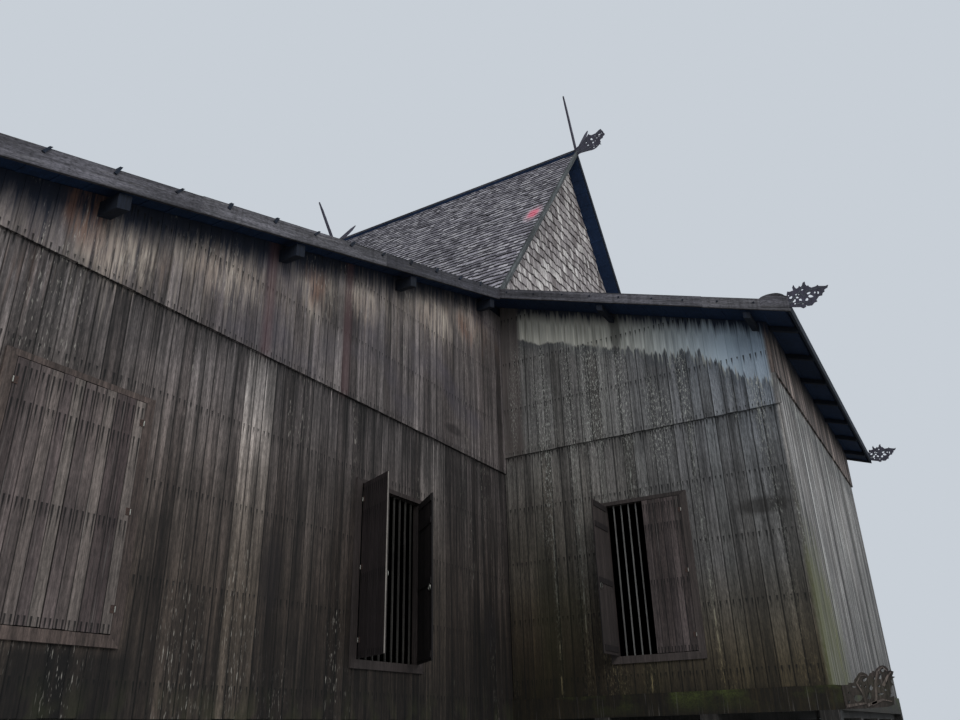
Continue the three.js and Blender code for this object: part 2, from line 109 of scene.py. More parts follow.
def high_line(x):
    return FOOT_Z + (FOOT_X - abs(x)) * math.tan(HIGH_PITCH)


def below(line, pitch, depth):
    """The height that lies a depth square below a roof line."""
    return lambda u: line(u) - depth / math.cos(pitch)


low_soffit = below(low_line, LOW_PITCH, COVER_UNDER)
wing_soffit = below(wing_line, WING_PITCH, COVER_UNDER)
high_soffit = below(high_line, HIGH_PITCH, COVER_UNDER)
print("ridge line at", round(high_line(0), 3), "m")

# %% [markdown]
# ## A pile of loose wood
# A wall has dozens of boards and a roof has thousands of shingles. Each is a closed solid, but
# one mesh holds all that belong to one wall or slope. Every point also carries two numbers for
# the finish: `tone`, one random value a board, and `across`, which runs from 0 at a board's
# left edge to 1 at its right one, or from a shingle's butt up to its head.


# %% Pile of wood
class Pile:
    """Loose solids that become one mesh."""

    def __init__(self):
        self.points, self.faces, self.finishes = [], [], []
        self.tone, self.across = [], []

    def solid(self, ring, other, tone, across=None, finish=0):
        """Join two rings of the same number of points into a closed solid."""
        start, count = len(self.points), len(ring)
        self.points += [*ring, *other]
        self.faces.append(tuple(range(start, start + count)))
        self.faces.append(tuple(range(start + 2 * count - 1, start + count - 1, -1)))
        for i in range(count):
            j = (i + 1) % count
            self.faces.append((start + i, start + j, start + count + j, start + count + i))
        self.finishes += [finish] * (count + 2)
        self.tone += [tone] * (2 * count)
        self.across += 2 * (across or [0.5] * count)

    def slab(self, spot, outline, near, far, tone, finish=0, across=None):
        """A flat outline with thickness, from one depth to another."""
        rings = [[spot(u, depth, v) for u, v in outline] for depth in (near, far)]
        self.solid(*rings, tone, across, finish)

    def pierced(self, spot, rings, near, far, tone, finish=0):
        """A board sawn to its first ring, with a hole through it for each other ring."""
        flat = [point for ring in rings for point in ring]
        start, count = len(self.points), len(flat)
        self.points += [spot(u, depth, v) for depth in (near, far) for u, v in flat]
        fill = tessellate_polygon([[Vector((u, v, 0.0)) for u, v in ring] for ring in rings])
        for a, b, c in fill:
            self.faces += [(start + a, start + b, start + c),
                           (start + count + c, start + count + b, start + count + a)]
        first = start
        for ring in rings:
            for i in range(len(ring)):
                here, after = first + i, first + (i + 1) % len(ring)
                self.faces.append((here, after, after + count, here + count))
            first += len(ring)
        self.finishes += [finish] * (2 * len(fill) + count)
        self.tone += [tone] * (2 * count)
        self.across += [0.5] * (2 * count)

    def post(self, spot, outline, bottom, top, tone, finish=0):
        """An upright with the given plan, from one height to another."""
        rings = [[spot(u, depth, z) for u, depth in outline] for z in (bottom, top)]
        self.solid(*rings, tone, None, finish)


def rectangle(u0, u1, v0, v1):
    return [(u0, v0), (u1, v0), (u1, v1), (u0, v1)]


def ride_on_house(thing, stands_for):
    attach(thing, "root")
    if stands_for:
        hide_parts(*stands_for)
    return thing


def raise_piece(name, pile, materials, stands_for=()):
    """Make one object from a pile, hung on the house, in place of its measured solids."""
    mesh = bpy.data.meshes.new(name)
    mesh.from_pydata(pile.points, [], pile.faces)
    for key, values in (("tone", pile.tone), ("across", pile.across)):
        mesh.attributes.new(key, "FLOAT", "POINT").data.foreach_set("value", values)
    for material in materials:
        mesh.materials.append(material)
    mesh.polygons.foreach_set("material_index", pile.finishes)
    outward = bmesh.new()
    outward.from_mesh(mesh)
    bmesh.ops.recalc_face_normals(outward, faces=outward.faces)
    outward.to_mesh(mesh)
    outward.free()
    thing = bpy.data.objects.new(name, mesh)
    bpy.context.scene.collection.objects.link(thing)
    print(f"{name}: {len(mesh.polygons)} faces")
    return ride_on_house(thing, stands_for)


print("corners of a board 2 m wide and 1 m high:", rectangle(0, 2, 0, 1))

# %% [markdown]
# ## Where a piece lies
# A wall piece is laid out flat, as u along the wall and z up it, with depth counted outward
# from the wall's face. One small function for each wall or slope turns that into a place.


# %% Walls and slopes as flat drawing boards
def facing(axis, side, face):
    """Points on an upright wall that faces along X or Y."""

    def spot(u, depth, z):
        out = side * (face + depth)
        return (out, u, z) if axis == "x" else (u, out, z)

    return spot


def leaning(origin, run, rise):
    """Points on a roof slope: u along the eave, depth out of the slope, v up it."""
    origin, run, rise = Vector(origin), Vector(run).normalized(), Vector(rise).normalized()
    normal = run.cross(rise)
    normal *= 1 if normal.z > 0 else -1

    def spot(u, depth, v):
        return tuple(origin + run * u + rise * v + normal * depth)

    return spot


print("1 m along the near wall and 3 m up lies", facing("y", -1, BODY_FACE)(1.0, 0.0, 3.0))

# %% [markdown]
# ## Colour and one helper for nodes
# Colours are written as the hex values that a screen shows, and one function turns them into
# the linear values that Blender's nodes expect. `put` adds any node, sets it up and feeds it.
# Paint goes on in two ways, and both are settings of the Mix node: a COAT covers what lies under
# it as far as its share says, and a TINT is multiplied with it, as a glaze or a shadow is.


# %% Colour and nodes
def paint(hex_colour):
    """An sRGB hex colour as linear red, green, blue and full alpha."""
    parts = [int(hex_colour[i:i + 2], 16) / 255 for i in (1, 3, 5)]
    return (*[c / 12.92 if c <= 0.04045 else ((c + 0.055) / 1.055) ** 2.4 for c in parts], 1.0)


COAT = {"data_type": "RGBA", "blend_type": "MIX"}
TINT = {"data_type": "RGBA", "blend_type": "MULTIPLY"}


def shown(sockets):
    return [socket for socket in sockets if socket.enabled]


def put(tree, kind, *values, stops=(), named=None, **settings):
    """Add a node, set its properties, and feed its inputs by order or by name."""
    node = tree.nodes.new("ShaderNode" + kind)
    for key, value in settings.items():
        setattr(node, key, value)
    feeds = [*zip(shown(node.inputs), values)]
    feeds += [(node.inputs[key], value) for key, value in (named or {}).items()]
    for socket, value in feeds:
        if isinstance(value, bpy.types.Node):
            value = shown(value.outputs)[0]
        if isinstance(value, bpy.types.NodeSocket):
            tree.links.new(value, socket)
        elif value is not None:
            socket.default_value = value
    for i, (position, colour) in enumerate(stops):
        bands = node.color_ramp.elements
        band = bands[i] if i < 2 else bands.new(position)
        band.position, band.color = position, paint(colour)
    return node


print("a mid grey turned to linear:", round(paint("#808080")[0], 3))

# %% [markdown]
# ## What weather does to ironwood
# Ironwood, or ulin, is sawn or split and left bare. Rain and sun turn it grey, each board in
# its own shade. The grain stands out, water runs down in streaks, iron nails leave a dark drip
# below each head, and moss grows where it stays wet. Each of these is one short function that
# returns a value from 0 to 1 or a factor to darken with, so any wooden finish can mix them. They
# all take `add`, which puts a node into the material that is being made.


# %% Weathering
def wood_places(add):
    """The place in metres, its three parts, and the two numbers that each board carries."""
    place = add("TexCoord").outputs["Object"]
    parts = add("SeparateXYZ", place).outputs
    tone = add("Attribute", attribute_name="tone").outputs["Fac"]
    across = add("Attribute", attribute_name="across").outputs["Fac"]
    return place, parts, tone, across


def cloud(add, place, stretch, seed=0.0, detail=2.0, rough=0.5):
    """Noise with so many patches a metre along X, Y and Z. The seed shifts it board by board."""
    scaled = add("VectorMath", place, stretch, operation="MULTIPLY")
    return add("TexNoise", noise_dimensions="4D",
               named={"Vector": scaled, "W": seed, "Scale": 1.0, "Detail": detail, "Roughness": rough})


def times(add, *values):
    product = values[0]
    for value in values[1:]:
        product = add("Math", product, value, operation="MULTIPLY")
    return product


def patch(add, place, centre, reach, ragged=0.5):
    """1 inside a spot with a ragged edge, 0 outside it."""
    offset = add("VectorMath", place, centre, operation="SUBTRACT")
    scaled = add("VectorMath", offset, reach, operation="DIVIDE")
    size = add("VectorMath", scaled, operation="LENGTH")
    wander = add("Math", cloud(add, place, (9.0, 9.0, 5.0)), ragged, operation="MULTIPLY")
    return add("MapRange", add("Math", size, wander, operation="ADD"), 0.8, 1.3, 1.0, 0.0)


NAIL_ROWS = 0.745
LAP_NAIL_ROWS = (0.06, -0.02)


def rows_below(add, z, heights=(), first=0.0, spacing=NAIL_ROWS):
    """How far a point lies below the next nail row above it, and a number for that row."""
    if not heights:
        fall = add("Math", first, z, operation="SUBTRACT")
        row = add("Math", add("Math", fall, spacing, operation="DIVIDE"), operation="FLOOR")
        return add("Math", fall, spacing, operation="FLOORED_MODULO"), row
    drop, row = 9.0, 0.0
    for height in heights:
        fall = add("Math", height, z, operation="SUBTRACT")
        above = add("Math", fall, 0.0, operation="LESS_THAN")
        drop = add("Math", drop, add("Math", above, 9.0, fall, operation="MULTIPLY_ADD"),
                   operation="MINIMUM")
        row = add("Math", row, above, operation="ADD")
    return drop, row


def nail_drips(add, rows, tone, across, length, width):
    """Dark drips below two nails a board. Length is in metres, width a share of the board's."""
    drop, row = rows
    sideways = add("Math", add("Math", across, 0.5, operation="SUBTRACT"), operation="ABSOLUTE")
    half = add("Math", across, 0.5, operation="GREATER_THAN")
    # Each nail has its own chance: how far it sits from the middle, and how long its drip is.
    chance = add("TexWhiteNoise", noise_dimensions="3D", named={
        "Vector": add("CombineXYZ", tone, times(add, row, 0.37), half)})
    sideways = add("Math", sideways, add("MapRange", chance, 0.0, 1.0, 0.19, 0.29), operation="SUBTRACT")
    fade = add("Math", drop, add("MapRange", chance, 0.0, 1.0, 0.25 * length, length), operation="DIVIDE")
    narrow = add("MapRange", fade, 0.0, 1.0, width, 0.35 * width)
    beside = add("Math", add("Math", sideways, operation="ABSOLUTE"), narrow, operation="DIVIDE")
    return times(add, add("MapRange", beside, 0.5, 1.2, 1.0, 0.0), add("MapRange", fade, 0.4, 1.0, 1.0, 0.0))


def column(add, coordinate, centre, half):
    """1 inside an upright strip, fading to 0 at its edges."""
    aside = add("Math", add("Math", coordinate, centre, operation="SUBTRACT"), operation="ABSOLUTE")
    return add("MapRange", aside, half, 0.3 * half)


def most(add, *values):
    greatest = values[0]
    for value in values[1:]:
        greatest = add("Math", greatest, value, operation="MAXIMUM")
    return greatest


print("nail rows lie", NAIL_ROWS, "m apart")

# %% [markdown]
# ## Sawn ironwood boards
# The walls, shutters and trim are sawn boards. They share one recipe: a shade for each board,
# grain lines along its length, cloudy damp patches, run-off streaks, dark joints where dirt
# collects and bumps that follow the grain. The saw left the surface rough and the weather has
# raised the fibres, so it shines only dully. The parts that differ from wall to wall, such as
# the bleached band under the eaves, are laid over the colour afterwards.


# %% Sawn boards
# How many patches a metre each pattern has: twice across the board, then along it. Ironwood's
# own grain is about 1 mm, too fine to show from here, so its lines are drawn 9 mm apart. The
# specks are 14 by 60 mm, the stripes 23 mm by 1.3 m and the bands 77 mm by 1.7 m. Water runs
# down in streaks 56 mm wide, damp patches are 1.8 m across and raised fibres 17 mm.
GRAIN, SPECKS, STRIPES = (110.0, 110.0, 3.0), (70.0, 70.0, 16.0), (44.0, 44.0, 0.75)
BANDS, WATER_RUNS = (13.0, 13.0, 0.6), (18.0, 18.0, 0.4)
DAMP_PATCHES, RAISED_FIBRES = (0.55, 0.55, 0.7), (60.0, 60.0, 1.3)


def lying_fibre(add, parts, across, depth):
    """Places for a board that lies along an edge: across it by its number, along it by x + y + z."""
    x, y, z = parts
    along = add("Math", add("Math", x, y, operation="ADD"), z, operation="ADD")
    high = times(add, across, depth)
    return add("CombineXYZ", high, 0.0, along)


def board_colour(add, shades, streak=0.5, damp=0.35, speckle=0.3, joint=0.22, stripe=0.12,
                 pale="#a8a19b", lying=0.0):
    """The common look of sawn boards: (colour, grain, places). Lying boards give their depth."""
    place, parts, tone, across = wood_places(add)
    fibre = lying_fibre(add, parts, across, lying) if lying else place
    seed = times(add, tone, 53.0)
    base = add("ValToRGB", tone, stops=[(i / (len(shades) - 1), s) for i, s in enumerate(shades)])
    grain = cloud(add, fibre, GRAIN, seed, 3.0, 0.65)
    specks = cloud(add, fibre, SPECKS, times(add, tone, 71.0), 4.0, 0.75)
    stripes = cloud(add, fibre, STRIPES, times(add, tone, 31.0), 3.0, 0.6)
    bands = cloud(add, fibre, BANDS, seed, 3.0, 0.6)
    runs = cloud(add, place, WATER_RUNS, 3.1, 3.0, 0.6)
    patches = cloud(add, place, DAMP_PATCHES, 7.7, 4.0, 0.6)
    edge = add("Math", across, add("Math", 1.0, across, operation="SUBTRACT"), operation="MINIMUM")
    edge = add("Math", add("Math", stripes, 0.5, operation="SUBTRACT"), 0.06, edge,
               operation="MULTIPLY_ADD")
    shade = times(
        add,
        add("MapRange", grain, 0.3, 0.7, 0.66, 1.34),
        add("MapRange", specks, 0.32, 0.68, 1.0 - speckle, 1.0 + speckle),
        add("MapRange", stripes, 0.34, 0.64, 1.0 - stripe, 1.0 + 0.8 * stripe),
        add("MapRange", bands, 0.34, 0.66, 1.0 - 1.3 * stripe, 1.0 + 1.0 * stripe),
        add("MapRange", runs, 0.32, 0.50, 1.0 - streak, 1.0),
        add("MapRange", patches, 0.35, 0.68, 1.0 - damp, 1.0 + 0.6 * damp),
        add("MapRange", edge, 0.022, 0.075, joint, 1.0),
    )
    colour = add("Mix", 1.0, base, shade, **TINT)
    raised = cloud(add, fibre, RAISED_FIBRES, times(add, tone, 17.0), 2.0, 0.6)
    colour = add("Mix", add("MapRange", raised, 0.60, 0.72, 0.0, 0.2), colour, paint(pale), **COAT)
    return colour, grain, (place, parts, tone, across)


def finish_wood(add, colour, relief, roughness=0.78, bump=0.4, depth=0.003, shine=0.35):
    """Close the recipe: bump from the grain, and the dull shine of weathered wood."""
    lift = add("Bump", bump, depth, named={"Height": relief})
    surface = add("BsdfPrincipled", named={
        "Base Color": colour, "Roughness": roughness, "Specular IOR Level": shine,
        "IOR": 1.5, "Normal": lift})
    add("OutputMaterial", surface)


def new_finish(name):
    """An empty material, and `add`, which is `put` for this material's own nodes."""
    material = bpy.data.materials.new(name)
    material.use_nodes = True
    material.node_tree.nodes.clear()
    return material, partial(put, material.node_tree)


print("grain lines are drawn", round(1000 / GRAIN[0], 1), "mm apart")

# %% [markdown]
# ### The long walls
# Grey-brown boards with a purple cast. Right under the rake they are painted almost black, as a
# painted shade. Below that they are sheltered and bleached to a streaky tan. Below the lap the
# water runs down dark, and towards the ground they turn brown and darker, partly for damp and
# partly as painted shade. One wall has many such histories, so each short function below makes
# one band or one kind of mark, and the last one lays them over the common look in turn. Places
# are in metres, on the wall itself, and the patterns' sizes are patches a metre, so 26 across
# makes streaks 38 mm wide.


# %% The long wall's dry band, and the painted shade under the rake
BLEACHED_AT = ((-11.4, 0.60), (-9.72, 0.42), (-8.6, 0.66), (-7.3, 0.40), (-6.6, 0.34), (-5.1, 0.55),
               (-4.2, 0.40))
BLEACHED_DROP, BLEACHED_HALF = 0.60, 0.36
STREAK_MIDDLE = 0.5


def eave_shadow(add, colour, drop, streaky, full, gone, black="#0f1829"):
    """Painted shade under a soffit: nearly black down to one depth, gone at another."""
    ragged = add("Math", add("Math", streaky, STREAK_MIDDLE, operation="SUBTRACT"), -0.6, drop,
                 operation="MULTIPLY_ADD")
    return add("Mix", add("MapRange", ragged, full, gone, 0.97, 0.0), colour, paint(black), **COAT)


def dry_band_and_eave_shade(add, colour, places, bright, broken):
    """Tan where the rake keeps the rain off, violet below it, painted shade right under the rake."""
    place, (x, _, z), tone, _ = places
    # The drop is how far a point lies below the roof line above it.
    line = add("Math", add("Math", x, operation="ABSOLUTE"), -math.tan(LOW_PITCH),
               FOOT_Z + FOOT_X * math.tan(LOW_PITCH), operation="MULTIPLY_ADD")
    drop = add("Math", line, z, operation="SUBTRACT")
    streaky = cloud(add, place, (26.0, 26.0, 0.8), times(add, tone, 9.0), 3.0, 0.62)
    ends = add("Math", add("Math", streaky, STREAK_MIDDLE, operation="SUBTRACT"), 2.6, drop,
               operation="MULTIPLY_ADD")
    sheltered = times(add, add("MapRange", ends, 1.05, 0.60), add("MapRange", bright, 0.0, 1.0, 0.28, 1.0),
                      add("MapRange", broken, 0.40, 0.56, 0.12, 1.0))
    hue = cloud(add, place, (1.5, 1.5, 0.9), 2.0)
    tan = add("ValToRGB", hue, stops=[(0.38, "#9a8b80"), (0.52, "#b5a89b"), (0.64, "#8c6f60")])
    colour = add("Mix", sheltered, colour, tan, **COAT)
    cast = cloud(add, place, (0.9, 0.9, 1.3), 12.0, 3.0)
    violet = times(add, add("MapRange", cast, 0.52, 0.66), add("MapRange", z, 4.6, 5.2))
    colour = add("Mix", times(add, violet, 0.45), colour, paint("#4a4650"), **COAT)
    # The painted shade reaches further down on the left of the wall and less far on the right.
    deeper = times(add, add("MapRange", x, -9.5, -4.5, 0.08, -0.07), add("MapRange", x, -10.9, -10.4))
    return eave_shadow(add, colour, add("Math", drop, deeper, operation="SUBTRACT"), streaky, 0.20, 0.50)


print("bleached places under the rake:", len(BLEACHED_AT))

# %% [markdown]
# Rain that runs off the lap darkens the wood below it, further down on some boards than on
# others. Towards the ground the wall darkens too, partly for damp and partly as painted shade.
# Each iron nail adds a drip, and a few listed zones are darker than the rest. All of this only
# darkens, so each is worked out as one factor, and the factors are multiplied.


# %% The long wall's water, painted low shade, nails and darker zones
# Each darker zone: where along the wall it begins and is full, the same up it, and its brightness.
DARKER_ZONES = ((-8.4, -7.2, 5.0, 4.7, 0.64), (-5.8, -5.2, 5.0, 4.7, 0.85), (-9.0, -8.4, 3.2, 2.4, 0.83),
              (-8.9, -9.1, 2.2, 2.1, 0.32))
# The boards are nailed to rails, so the lowest nail row and the lowest rail share one height.
BODY_NAILS_FROM = 1.97


def run_off_and_low_shade(add, places):
    """Dark from water under the lap and in streaks, and near the ground, partly damp, partly painted shade.
    """
    place, (_, _, z), tone, _ = places
    under_lap = add("Math", BODY_SEAM, z, operation="SUBTRACT")
    # The water gets from 2 cm to 1.2 m down before the wood has dried up again.
    fall = add("MapRange", cloud(add, place, (21.0, 21.0, 0.3), 5.0, 3.0, 0.65), 0.38, 0.66, 0.02, 1.2)
    wet = add("MapRange", add("Math", under_lap, fall, operation="DIVIDE"), 0.0, 1.0, 0.32, 1.0)
    wet = most(add, wet, add("Math", under_lap, 0.0, operation="LESS_THAN"))
    # Painted shade, partly damp too: the wall darkens towards the ground.
    low = add("MapRange", z, 1.95, 4.75, 0.24, 0.93)
    streaks = cloud(add, place, (10.0, 10.0, 0.55), 15.0, 3.0, 0.65)
    stains = add("MapRange", streaks, 0.40, 0.60, 0.55, 1.50)
    faint = add("MapRange", stains, 0.55, 1.5, 0.85, 1.17)
    strong = times(add, add("MapRange", z, 5.0, 4.9), add("MapRange", tone, 0.80, 0.90, 1.0, 0.1))
    return times(add, wet, low, add("Mix", strong, faint, stains, data_type="FLOAT"))


def body_nails(add, places):
    """Drips below the level nail rows and below the two rows at the lap, as one factor."""
    _, (_, _, z), tone, across = places
    lap_rows = rows_below(add, z, [BODY_SEAM + rise for rise in LAP_NAIL_ROWS])
    drips = most(add, nail_drips(add, rows_below(add, z, first=BODY_NAILS_FROM), tone, across, 0.15, 0.075),
                 nail_drips(add, lap_rows, tone, across, 0.13, 0.07))
    return add("MapRange", drips, 0.0, 1.0, 1.0, 0.12)


def darker_zones(add, x, z):
    """Listed parts of the wall that are darker than the rest, as one factor."""
    factors = []
    for side_from, side_to, rise_from, rise_to, left in DARKER_ZONES:
        inside = times(add, add("MapRange", x, side_from, side_to), add("MapRange", z, rise_from, rise_to))
        factors.append(add("MapRange", inside, 0.0, 1.0, 1.0, left))
    return times(add, *factors)


print("darker zones on the long wall:", len(DARKER_ZONES))

# %% [markdown]
# Last come the marks that this wall has in one place only. Each is a spot with a ragged edge,
# at a listed place. Lichen flecks and the moss at the foot follow noise instead. Then the finish
# is put together in the order in which its layers lie.


# %% The long wall's stains, and the whole finish
# Each dark stain: its centre and its reach.
BODY_STAINS = (((-7.68, -3.0, 2.95), (0.16, 0.2, 0.42)), ((-3.72, -3.0, 2.77), (0.18, 0.2, 0.34)),
               ((-6.95, -3.0, 5.9), (0.5, 0.2, 0.35)), ((-4.6, -3.0, 5.2), (0.25, 0.2, 0.08)))
RUSTY_SPOT = ((-10.04, -3.0, 5.42), (0.22, 0.2, 0.34))
HEART_BOARDS_AT, HEART_HALF = (-8.02, -6.82), 0.10


def single_marks(add, colour, places, bright, broken):
    """Dark stains, a rusty spot, two red heartwood boards, pale flecks and moss at the foot."""
    place, (x, y, z), _, _ = places
    for centre, reach in BODY_STAINS:
        stain = times(add, patch(add, place, centre, reach), 0.6)
        colour = add("Mix", stain, colour, paint("#1b1718"), **COAT)
    rust = times(add, patch(add, place, *RUSTY_SPOT, 0.3), add("MapRange", broken, 0.4, 0.6), 0.5)
    colour = add("Mix", rust, colour, paint("#7d5846"), **COAT)
    for at in HEART_BOARDS_AT:
        heart = times(add, column(add, x, at, HEART_HALF), add("MapRange", z, 4.9, 5.0),
                      add("MapRange", y, -2.0, -2.5))
        colour = add("Mix", times(add, heart, 0.5), colour, paint("#53383a"), **COAT)
    flecks = cloud(add, place, (75.0, 75.0, 9.0), 1.0, 2.0, 0.7)
    groups = add("MapRange", cloud(add, place, (3.2, 3.2, 0.5), 4.0), 0.53, 0.64)
    pale = times(add, add("MapRange", flecks, 0.60, 0.68), most(add, groups, times(add, bright, 0.9)), 0.6)
    colour = add("Mix", pale, colour, paint("#b7b1a6"), **COAT)
    tufts = add("MapRange", cloud(add, place, (5.0, 5.0, 3.0), 6.0), 0.48, 0.62)
    moss = times(add, add("MapRange", z, 2.05, 1.75), tufts, 0.25)
    return add("Mix", moss, colour, paint("#3c3f24"), **COAT)


def body_boards_finish():
    material, add = new_finish("ironwood_body_boards")
    shades = ["#4a4341", "#5b5351", "#6a6260", "#756d6b", "#827a77", "#aaa19c"]
    colour, grain, places = board_colour(add, shades, streak=0.5, speckle=0.5, stripe=0.36)
    place, (x, _, z), _, _ = places
    bright = most(add, *[
        patch(add, place, (at, -BODY_FACE, low_line(at) - BLEACHED_DROP), (reach, 0.3, BLEACHED_HALF), 0.5)
        for at, reach in BLEACHED_AT])
    broken = cloud(add, place, (34.0, 34.0, 2.6), 6.0, 4.0, 0.7)
    colour = dry_band_and_eave_shade(add, colour, places, bright, broken)
    darker = times(add, run_off_and_low_shade(add, places), body_nails(add, places), darker_zones(add, x, z))
    colour = add("Mix", 1.0, colour, darker, **TINT)
    colour = add("Mix", add("MapRange", z, 4.6, 2.6), colour, paint("#fff0dc"), **TINT)
    finish_wood(add, single_marks(add, colour, places, bright, broken), grain)
    return material


BODY_BOARDS = body_boards_finish()
print("long wall finish:", len(BODY_BOARDS.node_tree.nodes), "nodes")

# %% [markdown]
# ### The wing walls
# Grey boards, with painted sky light that makes them bluer and brighter high up at the outer
# end, and browner by the inner corner. A pale band lies sheltered under the eave and ends in a
# tide line, with white lichen flecks and long white runs below it. Moss colours the foot. The end
# walls face the weather: they are bleached silver in long streaks and brightened, partly for that
# and partly as painted light from the open sky, and algae grow up from one corner. The recipe
# goes band by band again. `out` is how far a point lies from the middle of the house, and
# `outside` is 1 on an end wall.


# %% The wing's end walls, bleached silver and brightened by painted sky light
def bleached_and_sky_lit_end(add, colour, z, across, outside, silver):
    """Silver streaks, bleached and lit by painted sky light, soft joints, browner planks above the higher
    lap.
    """
    # Partly bleaching and partly painted light from the open sky: the end wall brightens in streaks.
    bleach_and_sky_light = add("Mix", outside, 1.0, add("MapRange", silver, 0.38, 0.60, 0.80, 2.5), data_type="FLOAT")
    colour = add("Mix", 1.0, colour, bleach_and_sky_light, **TINT)
    gap = add("Math", across, add("Math", 1.0, across, operation="SUBTRACT"), operation="MINIMUM")
    joints = add("Mix", outside, 1.0, add("MapRange", gap, 0.04, 0.14, 0.75, 1.0), data_type="FLOAT")
    colour = add("Mix", 1.0, colour, joints, **TINT)
    planks = add("MapRange", silver, 0.40, 0.60, 0.42, 1.1)
    dry = times(add, outside, add("MapRange", z, END_SEAM - 0.02, END_SEAM))
    return add("Mix", dry, colour, add("Mix", 1.0, paint("#e2cfc8"), planks, **TINT), **TINT)


print("the end walls lap", round(END_SEAM - WING_SEAM, 2), "m higher than the left side walls")

# %% [markdown]
# The eave shelters the top of the side walls. The wood bleaches pale there, and where the rain
# begins to reach it, a wavering tide line with a darker rim is left. Right under the eave a
# painted shade darkens it almost to black. The roof's slope gives each point its drop below the
# eave, and noise makes the tide wander.


# %% The wing's pale band under the eave, its tide line and the painted shade above it
INNER_STRIP = (3.30, 3.36)


def pale_band_and_eave_shade(add, colour, places, out, outside):
    """The sheltered band, the darker rim below it and the painted shade above it. Also gives the tide."""
    place, (_, _, z), tone, _ = places
    line = add("Math", out, -math.tan(WING_PITCH), FOOT_Z + VERGE_Y * math.tan(WING_PITCH),
               operation="MULTIPLY_ADD")
    drop = add("Math", line, z, operation="SUBTRACT")
    streaky = cloud(add, place, (24.0, 24.0, 0.9), times(add, tone, 5.0), 3.0, 0.62)
    wander = cloud(add, place, (2.4, 2.4, 1.0), 2.0, 3.0, 0.6)
    tide = add("Math", drop, times(add, wander, 0.42), operation="ADD")
    tide = add("Math", add("Math", streaky, STREAK_MIDDLE, operation="SUBTRACT"),
               add("MapRange", out, 4.3, 5.4, 0.08, 0.5), tide, operation="MULTIPLY_ADD")
    tide = add("Math", tide, add("MapRange", out, 5.9, 6.9, 0.0, 0.25), operation="SUBTRACT")
    pale_wood = add("Mix", add("MapRange", streaky, 0.35, 0.65), paint("#8f8d83"), paint("#dedbce"), **COAT)
    pale_wood = add("Mix", add("MapRange", out, 5.2, 6.6), pale_wood, paint("#c2c7c6"), **COAT)
    pale = times(add, add("MapRange", tide, 0.905, 0.87), add("MapRange", out, *INNER_STRIP),
                 add("MapRange", outside, 0.0, 1.0, 0.78, 0.0), add("MapRange", out, 6.3, 6.6, 1.0, 0.45))
    colour = add("Mix", pale, colour, pale_wood, **COAT)
    rim = times(add, add("MapRange", tide, 0.87, 0.91), add("MapRange", tide, 1.10, 0.93), 0.45)
    colour = add("Mix", rim, colour, paint("#474a4d"), **COAT)
    # Painted shade right under the eave, nearly black.
    colour = eave_shadow(add, colour, drop, streaky, 0.15, 0.34)
    corner_board = add("Mix", 1.0, paint("#564e4b"), add("MapRange", streaky, 0.3, 0.7, 0.55, 1.35), **TINT)
    inner = times(add, add("MapRange", out, *reversed(INNER_STRIP)), add("MapRange", z, 5.0, 5.3), 0.8)
    return add("Mix", inner, colour, corner_board, **COAT), tide


print("the corner board ends between", INNER_STRIP, "m from the middle")

# %% [markdown]
# Below the tide the wood darkens towards the inner corner, where two walls meet, as a painted
# shade, and towards the ground, partly for damp and partly as painted shade. The lap throws a
# thin painted shadow, and the nails drip here too. The end walls and the right-hand side walls
# lap higher, so these heights are counted from the lap.


# %% The wing's darker foot, painted shade and nails, and the painted light of the sky
WING_NAILS_FROM = 2.184


def wing_shade(add, places, out, outside):
    """Painted shade low and by the corner, damp at the foot, the lap's shadow and nails, as one factor."""
    _, (x, _, z), tone, across = places
    # Painted shade: darker towards the ground on all walls and towards the inner corner on the side walls; at
    # the foot this is partly damp too.
    corner_and_foot = add("Math", add("Math", out, 0.40, operation="MULTIPLY"), z, operation="ADD")
    side_low = add("MapRange", corner_and_foot, 3.3, 6.9, 0.18, 1.05)
    low = add("Mix", outside, side_low, add("MapRange", z, 1.9, 4.2, 0.58, 1.0), data_type="FLOAT")
    lapped_high = most(add, outside, add("MapRange", x, 0.0, 0.1))
    from_lap = add("Math", z, times(add, lapped_high, END_SEAM - WING_SEAM), operation="SUBTRACT")
    lap_rows = rows_below(add, from_lap, [WING_SEAM + rise for rise in LAP_NAIL_ROWS])
    # Painted shadow: a thin dark band under the lap.
    under_lap = add("Math", WING_SEAM, from_lap, operation="SUBTRACT")
    lap = most(add, add("MapRange", under_lap, 0.0, 0.35, 0.72, 1.0),
               add("Math", under_lap, 0.0, operation="LESS_THAN"))
    drips = most(add, nail_drips(add, rows_below(add, z, first=WING_NAILS_FROM), tone, across, 0.16, 0.08),
                 nail_drips(add, lap_rows, tone, across, 0.12, 0.06))
    marks = add("Mix", outside, add("MapRange", drips, 0.0, 1.0, 1.0, 0.12), 1.0, data_type="FLOAT")
    # More painted shade low down by the inner corner.
    inner_low = times(add, add("MapRange", out, 4.8, 3.8), add("MapRange", z, 4.7, 4.0))
    # Painted shade and damp at the foot of the side walls.
    foot = add("Mix", outside, add("MapRange", z, 1.95, 2.5, 0.49, 1.0), 1.0, data_type="FLOAT")
    return times(add, low, lap, marks, add("MapRange", inner_low, 0.0, 1.0, 1.0, 0.72), foot)


